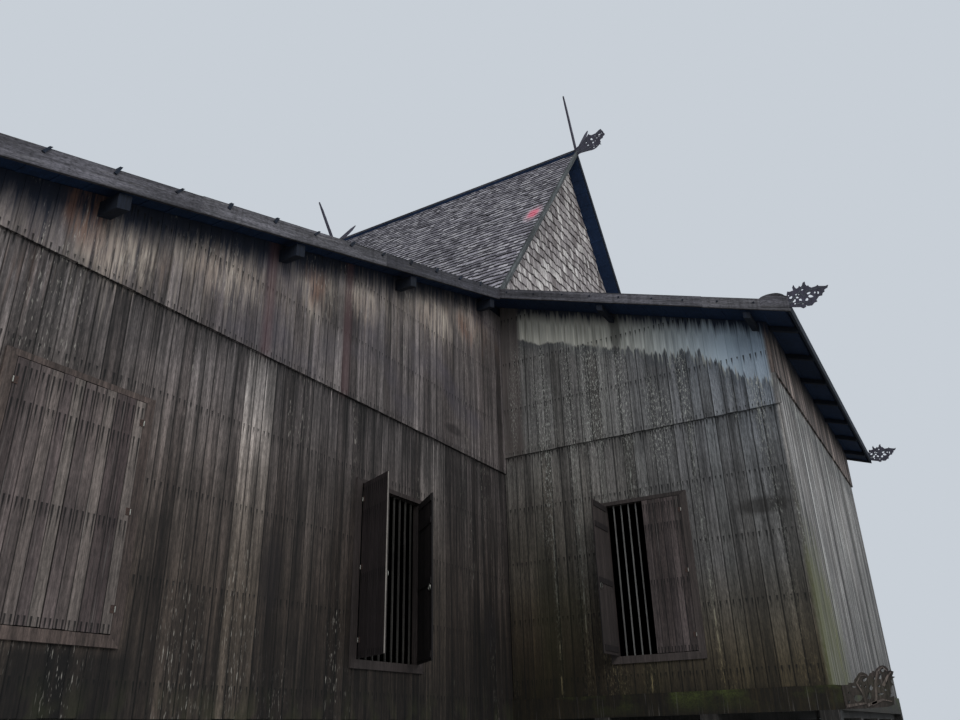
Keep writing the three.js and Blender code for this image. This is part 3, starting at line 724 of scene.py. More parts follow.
def wing_light(add, colour, z, out, outside):
    """Painted sky light: a bluer, brighter cast high up at the outer end, and brown by the inner corner."""
    inside = add("Math", 1.0, outside, operation="SUBTRACT")
    # Painted light: where the open sky reaches, the boards are tinted blue and brightened.
    sky = times(add, add("MapRange", out, 4.6, 6.8), add("MapRange", z, 3.6, 6.0), inside)
    colour = add("Mix", sky, colour, paint("#d2e6ff"), **TINT)
    colour = add("Mix", 1.0, colour, add("MapRange", sky, 0.0, 1.0, 1.0, 1.18), **TINT)
    brown = times(add, add("MapRange", out, 5.2, 3.6), add("MapRange", z, 5.6, 3.0))
    return add("Mix", brown, colour, paint("#ffeed2"), **TINT)


print("the wing's lowest nail row is at", WING_NAILS_FROM, "m")

# %% [markdown]
# Lichen grows in white flecks along upright strips, where water brings it down from the eave,
# and long thin runs mark some joints. Green growth needs more water: moss at the foot of the
# side walls, algae up one corner of the end wall. These lie on top of all that went before.


# %% The wing's stains, lichen and algae, and the whole finish
# Dark stains by centre and reach, then strips of lichen by place and half width.
WING_STAINS = (((-WING_FACE, -6.47, 3.97), (0.4, 0.36, 0.11)), ((-WING_FACE, -4.86, 6.72), (0.4, 0.09, 0.42)))
LICHEN_STRIPS = ((-3.70, 0.06), (-4.08, 0.12), (-4.42, 0.25), (-4.87, 0.16), (-5.72, 0.10), (-6.62, 0.12))
WHITE_RUNS_AT, RUN_HALF = (-3.70, -4.08, -4.87, -5.72), 0.016
ALGAE_CORNER = ((-2.95, -WING_END, 2.4), (1.8, 0.3, 2.0))


def lichen(add, colour, places, out, tide):
    """White flecks in upright strips, teeth along the tide line, and long broken white runs."""
    place, (_, y, z), _, _ = places
    flecks = cloud(add, place, (70.0, 70.0, 19.0), 1.0, 3.0, 0.72)
    strips = most(add, *[column(add, y, at, half) for at, half in LICHEN_STRIPS])
    strips = times(add, strips, add("MapRange", z, 4.9, 5.3, 0.45, 1.0))
    groups = add("MapRange", cloud(add, place, (2.6, 2.6, 0.4), 4.0), 0.54, 0.66)
    where = times(add, add("MapRange", tide, 0.86, 0.98), add("MapRange", z, 2.0, 5.4, 0.25, 1.0),
                  most(add, strips, groups))
    white = times(add, add("MapRange", flecks, 0.54, 0.62), where, 0.85)
    colour = add("Mix", white, colour, paint("#b7b7af"), **COAT)
    ragged = add("MapRange", cloud(add, place, (34.0, 34.0, 1.6), 8.0, 2.0), 0.52, 0.60)
    teeth = times(add, add("MapRange", tide, 0.84, 0.88), add("MapRange", tide, 1.02, 0.90),
                  add("MapRange", out, 3.8, 4.2), ragged, 0.7)
    colour = add("Mix", teeth, colour, paint("#a6a69e"), **COAT)
    runs = most(add, add("MapRange", cloud(add, place, (9.0, 9.0, 0.16), 8.0, 2.0), 0.675, 0.70),
                *[column(add, y, at, RUN_HALF) for at in WHITE_RUNS_AT])
    broken = add("MapRange", cloud(add, place, (50.0, 50.0, 7.0), 2.5, 3.0, 0.7), 0.50, 0.60)
    runs = times(add, runs, broken, add("MapRange", z, 5.6, 5.0), 0.6)
    return add("Mix", runs, colour, paint("#a3a49b"), **COAT)


def growth(add, colour, places, out, outside, silver):
    """Moss on the damp foot of the side walls, and algae up one corner of the end wall."""
    place, (_, _, z), _, _ = places
    green = cloud(add, place, (1.3, 1.3, 0.5), 9.0, 3.0)
    moss = times(add, add("MapRange", z, 4.2, 2.2), add("MapRange", green, 0.45, 0.62),
                 add("MapRange", out, 5.4, 4.6, 0.15, 1.0), 0.40)
    colour = add("Mix", moss, colour, paint("#2f331a"), **COAT)
    algae = times(add, patch(add, place, *ALGAE_CORNER, 1.0), outside,
                  add("MapRange", silver, 0.3, 0.7, 0.5, 1.0),
                  add("MapRange", green, 0.40, 0.60, 0.6, 1.0), 0.9)
    colour = add("Mix", algae, colour, paint("#606236"), **COAT)
    foot = times(add, add("MapRange", z, 3.4, 2.1), add("Math", 1.0, outside, operation="SUBTRACT"))
    return add("Mix", foot, colour, paint("#ffe6b4"), **TINT)


def wing_boards_finish():
    material, add = new_finish("ironwood_wing_boards")
    shades = ["#56534f", "#64615e", "#706d6b", "#7b7976", "#878583", "#a09e9b"]
    colour, grain, places = board_colour(add, shades, streak=0.5, speckle=0.5, stripe=0.32)
    place, (_, y, z), _, across = places
    out = add("Math", y, operation="ABSOLUTE")
    outside = add("MapRange", out, WING_END - 0.06, WING_END - 0.02)
    silver = cloud(add, place, (6.5, 6.5, 0.35), 23.0, 4.0, 0.62)
    colour = bleached_and_sky_lit_end(add, colour, z, across, outside, silver)
    colour, tide = pale_band_and_eave_shade(add, colour, places, out, outside)
    colour = add("Mix", 1.0, colour, wing_shade(add, places, out, outside), **TINT)
    colour = wing_light(add, colour, z, out, outside)
    for centre, reach in WING_STAINS:
        stain = times(add, patch(add, place, centre, reach, 0.35), 0.7)
        colour = add("Mix", stain, colour, paint("#211e1c"), **COAT)
    colour = lichen(add, colour, places, out, tide)
    finish_wood(add, growth(add, colour, places, out, outside, silver), grain)
    return material


WING_BOARDS = wing_boards_finish()
print("wing wall finish:", len(WING_BOARDS.node_tree.nodes), "nodes")

# %% [markdown]
# ### Shutters, trim and edge boards
# Shutters and window trim keep more of their red-brown heartwood colour, and their nails drip
# longer. The inner sides of the shutters never see the sun. Edge boards are grey and split.
# Under the roofs the wood lies in deep shade, and what light comes there is the blue of the open
# sky. So the soffit boards are painted that shade, a dark blue-grey, and the frame timbers a
# nearly black painted shade. One window's shutters and bars are painted in shade as well. All
# of them are the one recipe above with other shades, so one function makes them.


# %% Shutter, trim and edge board finishes
def plain_boards_finish(name, shades, nail_rows=(), drip=0.30, roughness=0.78, width=0.10, **look):
    material, add = new_finish(name)
    colour, grain, (_, (_, _, z), tone, across) = board_colour(add, shades, **look)
    if nail_rows:
        marks = nail_drips(add, rows_below(add, z, nail_rows), tone, across, drip, width)
        colour = add("Mix", 1.0, colour, add("MapRange", marks, 0.0, 1.0, 1.0, 0.1), **TINT)
    finish_wood(add, colour, grain, roughness)
    return material


BODY_ROWS, WING_ROWS = (3.990, 3.742, 3.084, 2.336), (4.194, 3.934, 3.246, 2.464)
HEARTWOOD = ["#463b3a", "#534846", "#5d5250", "#665b57", "#756b65"]
SHUTTER_OUTSIDE = plain_boards_finish(
    "ironwood_shutter_boards", HEARTWOOD, BODY_ROWS, 0.38, streak=0.3, damp=0.3, stripe=0.3, speckle=0.45)
# Painted shade: the open leaves of the second window are painted dark for the shade they lie in.
SHUTTER_IN_PAINTED_SHADE = plain_boards_finish(
    "ironwood_shutter_in_painted_shade", ["#2b2424", "#322a2a", "#393131"], BODY_ROWS, streak=0.2, pale="#5c5452")
SHUTTER_WING = plain_boards_finish(
    "ironwood_wing_shutter", ["#37302e", "#413836", "#4a403f", "#544a48"], WING_ROWS, 0.30, streak=0.3,
    damp=0.3, stripe=0.3, speckle=0.5)
SHUTTER_INSIDE = plain_boards_finish(
    "ironwood_shutter_inside", ["#1f1a1a", "#282222", "#322b2a"], streak=0.3, damp=0.2, pale="#4a4342")
TRIM = plain_boards_finish(
    "ironwood_trim", ["#322b29", "#3b3432", "#463e3b"], streak=0.3, joint=1.0, pale="#6d645f")
BODY_TRIM = plain_boards_finish(
    "ironwood_body_trim", ["#473c37", "#514540", "#5c4f49"], streak=0.3, joint=1.0, stripe=0.3,
    speckle=0.5, pale="#7d746f")
EDGE_LOOK = {"streak": 0.35, "damp": 0.4, "joint": 0.5, "stripe": 0.36, "speckle": 0.7, "pale": "#a5a19b"}
EDGE_BOARDS = plain_boards_finish(
    "ironwood_edge_boards", ["#3a393f", "#49474e", "#565459", "#656367"], lying=EDGE_DEPTH, **EDGE_LOOK)
VERGE_BOARDS = plain_boards_finish(
    "ironwood_verge_boards", ["#55595a", "#5f6463", "#6b706d"], lying=VERGE_DEPTH, **EDGE_LOOK)
BARS = plain_boards_finish("ironwood_window_bars", ["#62615f", "#706f6c"], streak=0.1, joint=1.0)
# Painted shade: the same bars, darker, for the window that lies in shade.
DARK_BARS = plain_boards_finish("ironwood_bars_in_painted_shade", ["#353330", "#3d3b37"], streak=0.1, joint=1.0)
WORN_EDGE = plain_boards_finish("ironwood_worn_edges", ["#77706a", "#857e77"], streak=0.1, joint=1.0)
# Painted shade: the soffit boards in the dark blue of the shade under the roofs, the frame timbers nearly
# black. The frame's finish also serves the wedges, the pegs and the edge boards in shade.
SOFFIT = plain_boards_finish(
    "ironwood_soffit_boards", ["#162b49", "#182e4d", "#1a3152"], streak=0.2, joint=1.0, roughness=0.9,
    pale="#1c3350")
FRAME_WOOD = plain_boards_finish(
    "ironwood_frame_timber", ["#131a27", "#18202d", "#1e2633"], streak=0.2, joint=1.0, roughness=0.9,
    pale="#2a313c")
FLOOR_WOOD = plain_boards_finish("ironwood_floor", ["#4a423c", "#5a5048", "#665b52"], joint=1.0)
print("heights of the shutters' nail rows:", BODY_ROWS, WING_ROWS)

# %% [markdown]
# ### Posts, sills and carving
# Posts stand in wet ground and go dark. The sill beams under the wings carry moss along their
# upper edge. Carving is the same wood, cut through and left in the weather: grey with a purple
# cast, and paler on the raised ribs. The scrolls are lower down, browner, and mossy too.


# %% Post, sill and carving finishes
def mossy_finish(name, shades, foot, top, share):
    """Dark wet wood with moss between two heights."""
    material, add = new_finish(name)
    colour, grain, places = board_colour(add, shades, joint=1.0, stripe=0.3, speckle=0.5)
    place, (_, _, z), _, _ = places
    growth = cloud(add, place, (1.3, 1.3, 1.8), 2.0, 4.0, 0.65)
    moss = times(add, add("MapRange", growth, 0.46, 0.60), add("MapRange", z, foot, top))
    tuft = cloud(add, place, (60.0, 60.0, 60.0), 1.0, 2.0)
    green = add("ValToRGB", tuft, stops=[(0.35, "#333b16"), (0.7, "#59642a")])
    colour = add("Mix", times(add, moss, share), colour, green, **COAT)
    finish_wood(add, colour, add("Math", grain, times(add, moss, tuft), operation="ADD"))
    return material


POSTS = mossy_finish("ironwood_posts", ["#2b2825", "#38332f", "#443f39"], 1.2, 0.0, 0.35)
SCROLL_WOOD = mossy_finish("ironwood_scrolls", ["#332c29", "#3c3431", "#463d39"], 1.66, 2.10, 0.2)
SCROLL_STEMS = mossy_finish("ironwood_scroll_stems", ["#564c47", "#625751", "#70645d"], 1.66, 2.10, 0.15)
SILLS = mossy_finish("ironwood_sills", ["#191409", "#1e180b", "#251e0e"], 1.72, 1.93, 0.5)
CARVING = plain_boards_finish(
    "ironwood_carving", ["#393744", "#42404d", "#4b4956"], streak=0.3, joint=1.0, pale="#66656f")
CARVED_RIBS = plain_boards_finish(
    "ironwood_carved_ribs", ["#474c52", "#51565b", "#5b6064"], streak=0.3, joint=1.0, pale="#7c8184")
print("wood finishes made:", len(bpy.data.materials))

# %% [markdown]
# ### Split shingles
# A shingle is split from a short log, so its face is uneven and each has a shade of its own.
# Roof shingles are dark purple-grey. Those on the gables are bleached to a pinkish beige. The
# `across` number runs up a shingle here, and the band at each butt is painted darkest, as a
# painted shadow along every course.


# %% Shingle finish
# A red-pink stain on the high roof: its centre, and its two rings' reach, share and colour.
RED_STAIN = (-1.79, -3.03, 10.24)
RED_RINGS = ((0.30, 0.75, "#d9b5bd"), (0.19, 0.85, "#e06a80"))


def shingle_finish(name, shades, butt, dark, stain=None):
    material, add = new_finish(name)
    place, _, tone, across = wood_places(add)
    seed = times(add, tone, 61.0)
    base = add("ValToRGB", tone, stops=[(i / (len(shades) - 1), s) for i, s in enumerate(shades)])
    split = cloud(add, place, (42.0, 42.0, 9.0), seed, 3.0, 0.6)
    weather = cloud(add, place, (0.8, 0.8, 0.8), 3.0, 4.0, 0.6)
    # The band at each butt is painted dark, a painted shadow along every course.
    shade = times(add, add("MapRange", split, 0.3, 0.7, 0.52, 1.38),
                  add("MapRange", weather, 0.35, 0.65, 0.80, 1.17),
                  add("MapRange", across, 0.25 * butt, butt, dark, 1.0))
    colour = add("Mix", 1.0, base, shade, **TINT)
    if stain:
        for reach, share, shade_of_red in RED_RINGS:
            spot = patch(add, place, stain, (1.4 * reach, 0.75 * reach, 1.4 * reach), 0.7)
            colour = add("Mix", times(add, spot, share), colour, paint(shade_of_red), **COAT)
    finish_wood(add, colour, split, 0.72, 0.6, 0.004)
    return material


ROOF_SHINGLES = shingle_finish(
    "split_ironwood_roof_shingles", ["#5c575f", "#7b767e", "#938e95", "#a5a0a6", "#bab5b8"], 0.34, 0.08,
    RED_STAIN)
GABLE_SHINGLES = shingle_finish(
    "split_ironwood_gable_shingles", ["#6f6765", "#8f8786", "#aaa2a0", "#bab3af", "#d9d3ce"], 0.08, 0.30)
print("shingle finish:", len(ROOF_SHINGLES.node_tree.nodes), "nodes")

# %% [markdown]
# ## Boards on the walls
# A carpenter nails upright boards side by side onto rails. No two are quite as wide or lie
# quite as deep, and their edges are a little rounded. Texture alone would leave the wall flat
# in raking light, so each board is its own solid, with a bevel along both front edges. Where a
# window comes, the boards stop above and below it. The upper boards lap over the lower ones.

# %% Board layer
BOARD_THICK, EDGE_ROUND = 0.024, 0.0035
NARROWEST, FOOT_UNEVEN = 0.04, 0.004
WALL_BACK, RAIL_HALF = -0.060, 0.045


def lay_board(pile, spot, u0, u1, bottom, top, proud, tone, dice):
    """One upright board; bottom and top give its end heights at any u."""
    left, right = proud - dice.uniform(0, 0.003), proud - dice.uniform(0, 0.003)
    back = proud - BOARD_THICK
    section = [
        (u0, back), (u0, left - EDGE_ROUND), (u0 + EDGE_ROUND, left),
        (u1 - EDGE_ROUND, right), (u1, right - EDGE_ROUND), (u1, back),
    ]
    across = [(u - u0) / (u1 - u0) for u, _ in section]
    rings = [[spot(u, depth, end(u)) for u, depth in section] for end in (bottom, top)]
    pile.solid(*rings, tone, across)


def clad(pile, spot, start, end, bottom, top, proud, dice, widths, holes=(), shade=None):
    """Boards side by side from start to end, cut short above and below the holes."""
    stops = sorted(edge for hole in holes for edge in hole[:2])
    u = start
    while u < end - 0.001:
        far = min(u + dice.uniform(*widths), end)
        far = min([far, *(stop for stop in stops if u + 0.001 < stop < far)])
        far = end if end - far < NARROWEST else far
        tone = dice.betavariate(2.2, 2.2) * 0.8
        tone = shade(0.5 * (u + far), tone) if shade else tone
        foot = bottom(u) + dice.uniform(-FOOT_UNEVEN, FOOT_UNEVEN)
        hole = next((h for h in holes if h[0] - 0.001 < u and far < h[1] + 0.001), None)
        ends = [(lambda _, z=foot: z, top)]
        if hole:
            ends = [(lambda _, z=foot: z, lambda _, z=hole[2]: z), (lambda _, z=hole[3]: z, top)]
        for lower, upper in ends:
            lay_board(pile, spot, u, far, lower, upper, proud, tone, dice)
        u = far


def rails(pile, spot, start, end, heights, holes=()):
    """The level rails that the boards are nailed to, on the inside."""
    for z in heights:
        stops = [start, end]
        for hole in holes:
            if hole[2] - 0.05 < z < hole[3] + 0.05:
                stops += [hole[0], hole[1]]
        stops.sort()
        for a, b in zip(stops[::2], stops[1::2]):
            outline = rectangle(a, b, z - RAIL_HALF, z + RAIL_HALF)
            pile.slab(spot, outline, WALL_BACK, -BOARD_THICK - 0.004, 0.3)


print("wall boards are", round(1000 * BOARD_THICK), "mm thick")

# %% [markdown]
# ### Windows: where the boards stop
# Two windows lie in each long wall and one in each wing side wall. Their sizes are the clear
# openings; the holes in the boards are wider by the lining.

# %% Window places
LINING = 0.035
BODY_WINDOW = {"width": 1.085, "height": 1.780, "bottom": 2.265}
WING_WINDOW = {"width": 1.005, "height": 1.860, "bottom": 2.390}
BODY_WINDOWS_AT = (9.780, 5.900)
WING_WINDOW_AT = 4.981


def window_hole(centre, size):
    half = size["width"] / 2 + LINING
    low, high = size["bottom"] - LINING, size["bottom"] + size["height"] + LINING
    return centre - half, centre + half, low, high


print("hole for a long wall's window:", [round(edge, 3) for edge in window_hole(0.0, BODY_WINDOW)])

# %% [markdown]
# ### The long walls
# Each long wall is laid in two halves, one on each side of a wing. The lower boards run from
# below the floor up to the lap. The upper ones start there, stand out by a board's thickness and
# end under the rake, and a hidden layer behind them closes their open joints. The widths come
# from seeded dice, so every run gives the same wall, and a few bright boards are listed.

# %% Long walls
BODY_WIDTHS, BACKING_WIDTHS = (0.112, 0.150), (0.2, 0.3)
LOWER_RISE, BACKING_RISE = 0.03, 0.05
# Bright boards, each with where it starts and ends along the wall and its tone.
PALE_BOARDS = ((-8.224, -7.795, 1.0), (-5.30, -4.83, 0.86), (-10.2, -9.9, 0.7))


def long_wall(side, end):
    """One half of a long wall: side is -1 near or 1 far, end -1 left or 1 right."""
    pile, dice = Pile(), random.Random(11 * side + 3 * end + 40)
    spot = facing("y", side, BODY_FACE)
    holes = [window_hole(end * at, BODY_WINDOW) for at in BODY_WINDOWS_AT]
    start, stop = sorted((end * BODY_END, end * WING_FACE))

    def top(u):
        return GABLE_FOOT if abs(u) < FOOT_X + 0.004 else low_soffit(u)

    def shade(u, tone):
        found = [pale for low, high, pale in PALE_BOARDS if low < u < high]
        return found[0] - 0.04 * tone if found and side < 0 else tone

    lower_top = BODY_SEAM + LOWER_RISE
    clad(pile, spot, start, stop, lambda u: BOARD_FOOT, lambda u: lower_top, 0.0, dice,
         BODY_WIDTHS, holes, shade)
    clad(pile, spot, start, stop, lambda u: BODY_SEAM, top, LAP, dice, BODY_WIDTHS)
    clad(pile, spot, start, stop, lambda u: BODY_SEAM + BACKING_RISE, top, 0.0, dice, BACKING_WIDTHS)
    rails(pile, spot, start, stop, [BODY_NAILS_FROM + NAIL_ROWS * i for i in range(5)], holes)
    name = f"{'near' if side < 0 else 'far'}_{'left' if end < 0 else 'right'}"
    raise_piece(f"boards_{name}", pile, [BODY_BOARDS], [f"long_wall_{name}"])


for wall_side in (-1, 1):
    for wall_end in (-1, 1):
        long_wall(wall_side, wall_end)

# %% [markdown]
# ### The end walls of the long body
# The roof comes down low here, so one length of board reaches from the foot to the soffit and
# there is no lap. The boards stop behind those of the long walls, as a carpenter would lap a
# corner, so that no board ends in the open.

# %% End walls of the long body
for wall_end, word in ((-1, "left"), (1, "right")):
    end_pile = Pile()
    end_spot = facing("x", wall_end, BODY_END)
    reach = BODY_FACE - BOARD_THICK
    clad(end_pile, end_spot, -reach, reach, lambda u: BOARD_FOOT, lambda u: low_soffit(BODY_END), 0.0,
         random.Random(70 + wall_end), BODY_WIDTHS)
    rails(end_pile, end_spot, -reach, reach, [BODY_NAILS_FROM + NAIL_ROWS * i for i in range(4)])
    raise_piece(f"boards_end_{word}", end_pile, [BODY_BOARDS], [f"end_wall_{word}"])

# %% [markdown]
# ### Wing walls
# The wing boards are a little wider, and they stand on a sill beam. A strip of 75 mm closes the
# outer corner, and the end wall's lower boards fit between the side walls. The left side walls
# lap at 5.18 m, but the end walls and the right side walls at 5.60 m. So the side walls, which
# differ in nothing else, take the height of their lap from the end of the house they are on.

# %% Wing walls
WING_WIDTHS = (0.128, 0.158)
CORNER_BOARD = 0.075


def wing_side(side, end):
    """A side wall of a wing: side is -1 near or 1 far, end -1 left or 1 right."""
    pile, dice = Pile(), random.Random(7 * side + 5 * end + 90)
    spot = facing("x", end, WING_FACE)
    hole = window_hole(side * WING_WINDOW_AT, WING_WINDOW)
    far = BODY_FACE + LAP
    seam = WING_SEAM if end < 0 else END_SEAM
    for level, (bottom, proud, holes) in enumerate((
            (SILL_TOP, 0.0, [hole]), (seam, LAP, []), (seam + BACKING_RISE, 0.0, []))):
        top = (lambda u: seam + LOWER_RISE) if level == 0 else wing_soffit
        out = WING_END + (LAP if level == 1 else 0.0)
        corner = out - CORNER_BOARD - 0.02 * level
        for a, b in ((far, corner), (corner, out)):
            start, stop = sorted((side * a, side * b))
            clad(pile, spot, start, stop, lambda u, z=bottom: z, top, proud, dice, WING_WIDTHS, holes)
    start, stop = sorted((side * (BODY_FACE + 0.001), side * (far - 0.001)))
    clad(pile, spot, start, stop, lambda u: SILL_TOP, lambda u: BODY_SEAM - 0.004, 0.0, dice, WING_WIDTHS)
    start, stop = sorted((side * far, side * (WING_END - 0.06)))
    rails(pile, spot, start, stop, [WING_NAILS_FROM + NAIL_ROWS * i for i in range(6)], [hole])
    name = f"{'near' if side < 0 else 'far'}_{'left' if end < 0 else 'right'}"
    raise_piece(f"wing_boards_{name}", pile, [WING_BOARDS], [f"wing_side_wall_{name}"])


def wing_end(side):
    pile, dice = Pile(), random.Random(120 + side)
    spot = facing("y", side, WING_END)
    inner = WING_FACE - BOARD_THICK
    top = wing_soffit(WING_END)
    clad(pile, spot, -inner, inner, lambda u: SILL_TOP, lambda u: END_SEAM + LOWER_RISE, 0.0, dice,
         WING_WIDTHS)
    clad(pile, spot, -WING_FACE, WING_FACE, lambda u: END_SEAM, lambda u: top, LAP, dice, WING_WIDTHS)
    clad(pile, spot, -inner, inner, lambda u: END_SEAM + BACKING_RISE, lambda u: top, 0.0, dice,
         BACKING_WIDTHS)
    rails(pile, spot, -inner, inner, [WING_NAILS_FROM + NAIL_ROWS * i for i in range(6)])
    word = "near" if side < 0 else "far"
    raise_piece(f"wing_boards_{word}_end", pile, [WING_BOARDS], [f"wing_end_wall_{word}"])


for wall_side in (-1, 1):
    wing_end(wall_side)
    for wall_end in (-1, 1):
        wing_side(wall_side, wall_end)

# %% [markdown]
# ## Shingles
# Shingles are laid in courses from the eave up, each course over the heads of the last, with
# the joints staggered. Each one leans out a little at its butt. Cutting every shingle to the
# outline of its slope keeps the edges of the roof straight, so a small clipping function trims
# the flat outline before it gets its thickness.

# %% Shingle layer
SHINGLE_THICK = 0.010
SHINGLE_LEAN = 0.085
HEAD_LAP = 1.45


def clip(outline, edge):
    """The part of a convex outline that lies left of an edge."""
    (u0, v0), (u1, v1) = edge
    kept = []
    for (a, b), (c, d) in zip(outline, outline[1:] + outline[:1]):
        here = (u1 - u0) * (b - v0) - (v1 - v0) * (a - u0)
        there = (u1 - u0) * (d - v0) - (v1 - v0) * (c - u0)
        if here >= 0:
            kept.append((a, b))
        if here * there < 0:
            share = here / (here - there)
            kept.append((a + share * (c - a), b + share * (d - b)))
    return kept


def shingle(pile, spot, bounds, exposure, widths, level, dice, uneven=0.024, missing=0.0, gap=0.0015):
    """Courses of shingles inside a convex outline that runs counter-clockwise."""
    edges = list(zip(bounds, bounds[1:] + bounds[:1]))
    left, right = min(u for u, _ in bounds), max(u for u, _ in bounds)
    v, highest = min(v for _, v in bounds), max(v for _, v in bounds)
    while v < highest - 0.01:
        u, sway = left - dice.random() * widths[1], 0.0
        while u < right:
            far = u + dice.uniform(*widths)
            sway = 0.6 * sway + dice.uniform(-uneven, uneven)
            butt = v + sway
            head = v + HEAD_LAP * exposure
            outline = [(u + gap, butt), (far - gap, butt + dice.uniform(-0.003, 0.003)),
                       (far - gap, head), (u + gap, head)]
            for edge in edges:
                outline = clip(outline, edge) if outline else outline
            lift, tone = level - dice.uniform(0, 0.006), dice.random()
            wide = max((p for p, _ in outline), default=0) - min((p for p, _ in outline), default=0)
            if len(outline) > 2 and wide > 0.01 and dice.random() >= missing:
                depths = [lift - SHINGLE_LEAN * (p - butt) for _, p in outline]
                rings = [[spot(p, depth - thick, q) for (p, q), depth in zip(outline, depths)]
                         for thick in (0.0, SHINGLE_THICK)]
                pile.solid(*rings, tone, [(q - butt) / (head - butt) for _, q in outline])
            u = far
        v += exposure


print("share of each shingle that stays in view:", round(1 / HEAD_LAP, 2))

# %% [markdown]
# ### The three roofs
# Under the shingles lies a deck of boards, then battens along the eave and the rafters, which the
# measured frame already has. From below the deck shows as a dark, blue-grey soffit, a painted
# shade, with the battens a few millimetres proud of it. The deck is as thick as the measured
# cover allows, since a thin one would leave the rafters hanging free of the roof that they carry.

# %% Roof slopes
ROOF_COURSE = 0.135
ROOF_WIDTHS = (0.085, 0.115)
DECK_TOP, DECK_UNDER = 0.052, 0.107
BATTEN_HALF = 0.018


def roof(name, node, spot, bounds, dice):
    pile = Pile()
    shingle(pile, spot, bounds, ROOF_COURSE, ROOF_WIDTHS, -COVER_TOP, dice)
    # The deck and the battens take the soffit's finish, a painted shade.
    pile.slab(spot, bounds, -DECK_TOP, -DECK_UNDER, 0.0, 1)
    low, high = min(v for _, v in bounds), max(v for _, v in bounds)
    left, right = min(u for u, _ in bounds), max(u for u, _ in bounds)
    v = low + 0.03
    while v < high - 0.05:
        row = rectangle(left, right, v - BATTEN_HALF, v + BATTEN_HALF)
        pile.slab(spot, row, -DECK_UNDER, -COVER_UNDER + 0.001, 0.2 * dice.random(), 1)
        v += 2 * ROOF_COURSE
    raise_piece(name, pile, [ROOF_SHINGLES, SOFFIT], [node])


for side, word in ((-1, "left"), (1, "right")):
    length = (LOW_EAVE - FOOT_X) / math.cos(LOW_PITCH) - 0.004
    origin = (side * LOW_EAVE, 0, low_line(LOW_EAVE))
    slope_spot = leaning(origin, (0, 1, 0), (-side * math.cos(LOW_PITCH), 0, math.sin(LOW_PITCH)))
    roof(f"shingles_low_{word}", f"low_roof_{word}", slope_spot,
         rectangle(-VERGE_Y, VERGE_Y, 0, length), random.Random(200 + side))

for side, word in ((-1, "near"), (1, "far")):
    length = (WING_EAVE - BODY_FACE - 0.02) / math.cos(WING_PITCH) - 0.001
    origin = (0, side * WING_EAVE, wing_line(WING_EAVE))
    slope_spot = leaning(origin, (1, 0, 0), (0, -side * math.cos(WING_PITCH), math.sin(WING_PITCH)))
    roof(f"shingles_wing_{word}", f"wing_roof_{word}", slope_spot,
         rectangle(-FOOT_X, FOOT_X, 0, length), random.Random(210 + side))

# %% [markdown]
# ### The high roof
# The two steep slopes meet at the ridge. Where a wing's roof comes in under a steep slope, the
# slope's lower corners are cut back to the line on which the two meet, or its shingles would
# stick through. So its outline has six points where the other slopes have four.

# %% High roof
for side, word in ((-1, "left"), (1, "right")):
    length = FOOT_X / math.cos(HIGH_PITCH) - 0.02
    slope_spot = leaning((side * FOOT_X, 0, FOOT_Z), (0, 1, 0),
                         (-side * math.cos(HIGH_PITCH), 0, math.sin(HIGH_PITCH)))
    step = BODY_FACE + 0.02
    cut = (wing_line(step) - FOOT_Z) / math.sin(HIGH_PITCH)
    outline = [(-VERGE_Y, cut), (-step, 0.0), (step, 0.0),
               (VERGE_Y, cut), (VERGE_Y, length), (-VERGE_Y, length)]
    roof(f"shingles_high_{word}", f"high_roof_{word}", slope_spot, outline, random.Random(220 + side))

# %% [markdown]
# ### The ridge cap
# A low cap covers the joint between the two slopes, and a narrow strip runs along its top. Both
# are straight from gable to gable, so each is one outline across the ridge, with the whole
# length of the ridge as its thickness.

# %% Ridge cap
CAP_RISE, CAP_REACH, STRIP_HALF = 0.022, 0.018, 0.010
cap, top = Pile(), high_line(0) + CAP_RISE
gable_to_gable = (-VERGE_Y - EDGE_THICK + 0.002, VERGE_Y + EDGE_THICK - 0.002)
boards = [(-CAP_REACH, high_line(CAP_REACH)), (0, high_line(0)), (CAP_REACH, high_line(CAP_REACH)), (0, top)]
strip = rectangle(-STRIP_HALF, STRIP_HALF, top - 0.012, top + 0.004)
cap.slab(facing("y", 1, 0.0), boards, *gable_to_gable, 0.1)
cap.slab(facing("y", 1, 0.0), strip, *gable_to_gable, 0.3)
raise_piece("ridge_cap", cap, [EDGE_BOARDS])

# %% [markdown]
# ## Gables
# The gable over each wing is a triangle of wider shingles on a boarded panel. Behind it stand
# the tie beam and the four inner posts that carry it.

# %% Gables
GABLE_COURSE = 0.190
GABLE_WIDTHS = (0.070, 0.120)
GABLE_LIFT, GABLE_UNEVEN, GABLE_MISSING, GABLE_GAP = 0.019, 0.024, 0.014, 0.006
GABLE_PANEL = -0.016
POST_HALF, INNER_POST_AT, TIE_DEPTH = 0.075, 1.05, 0.19


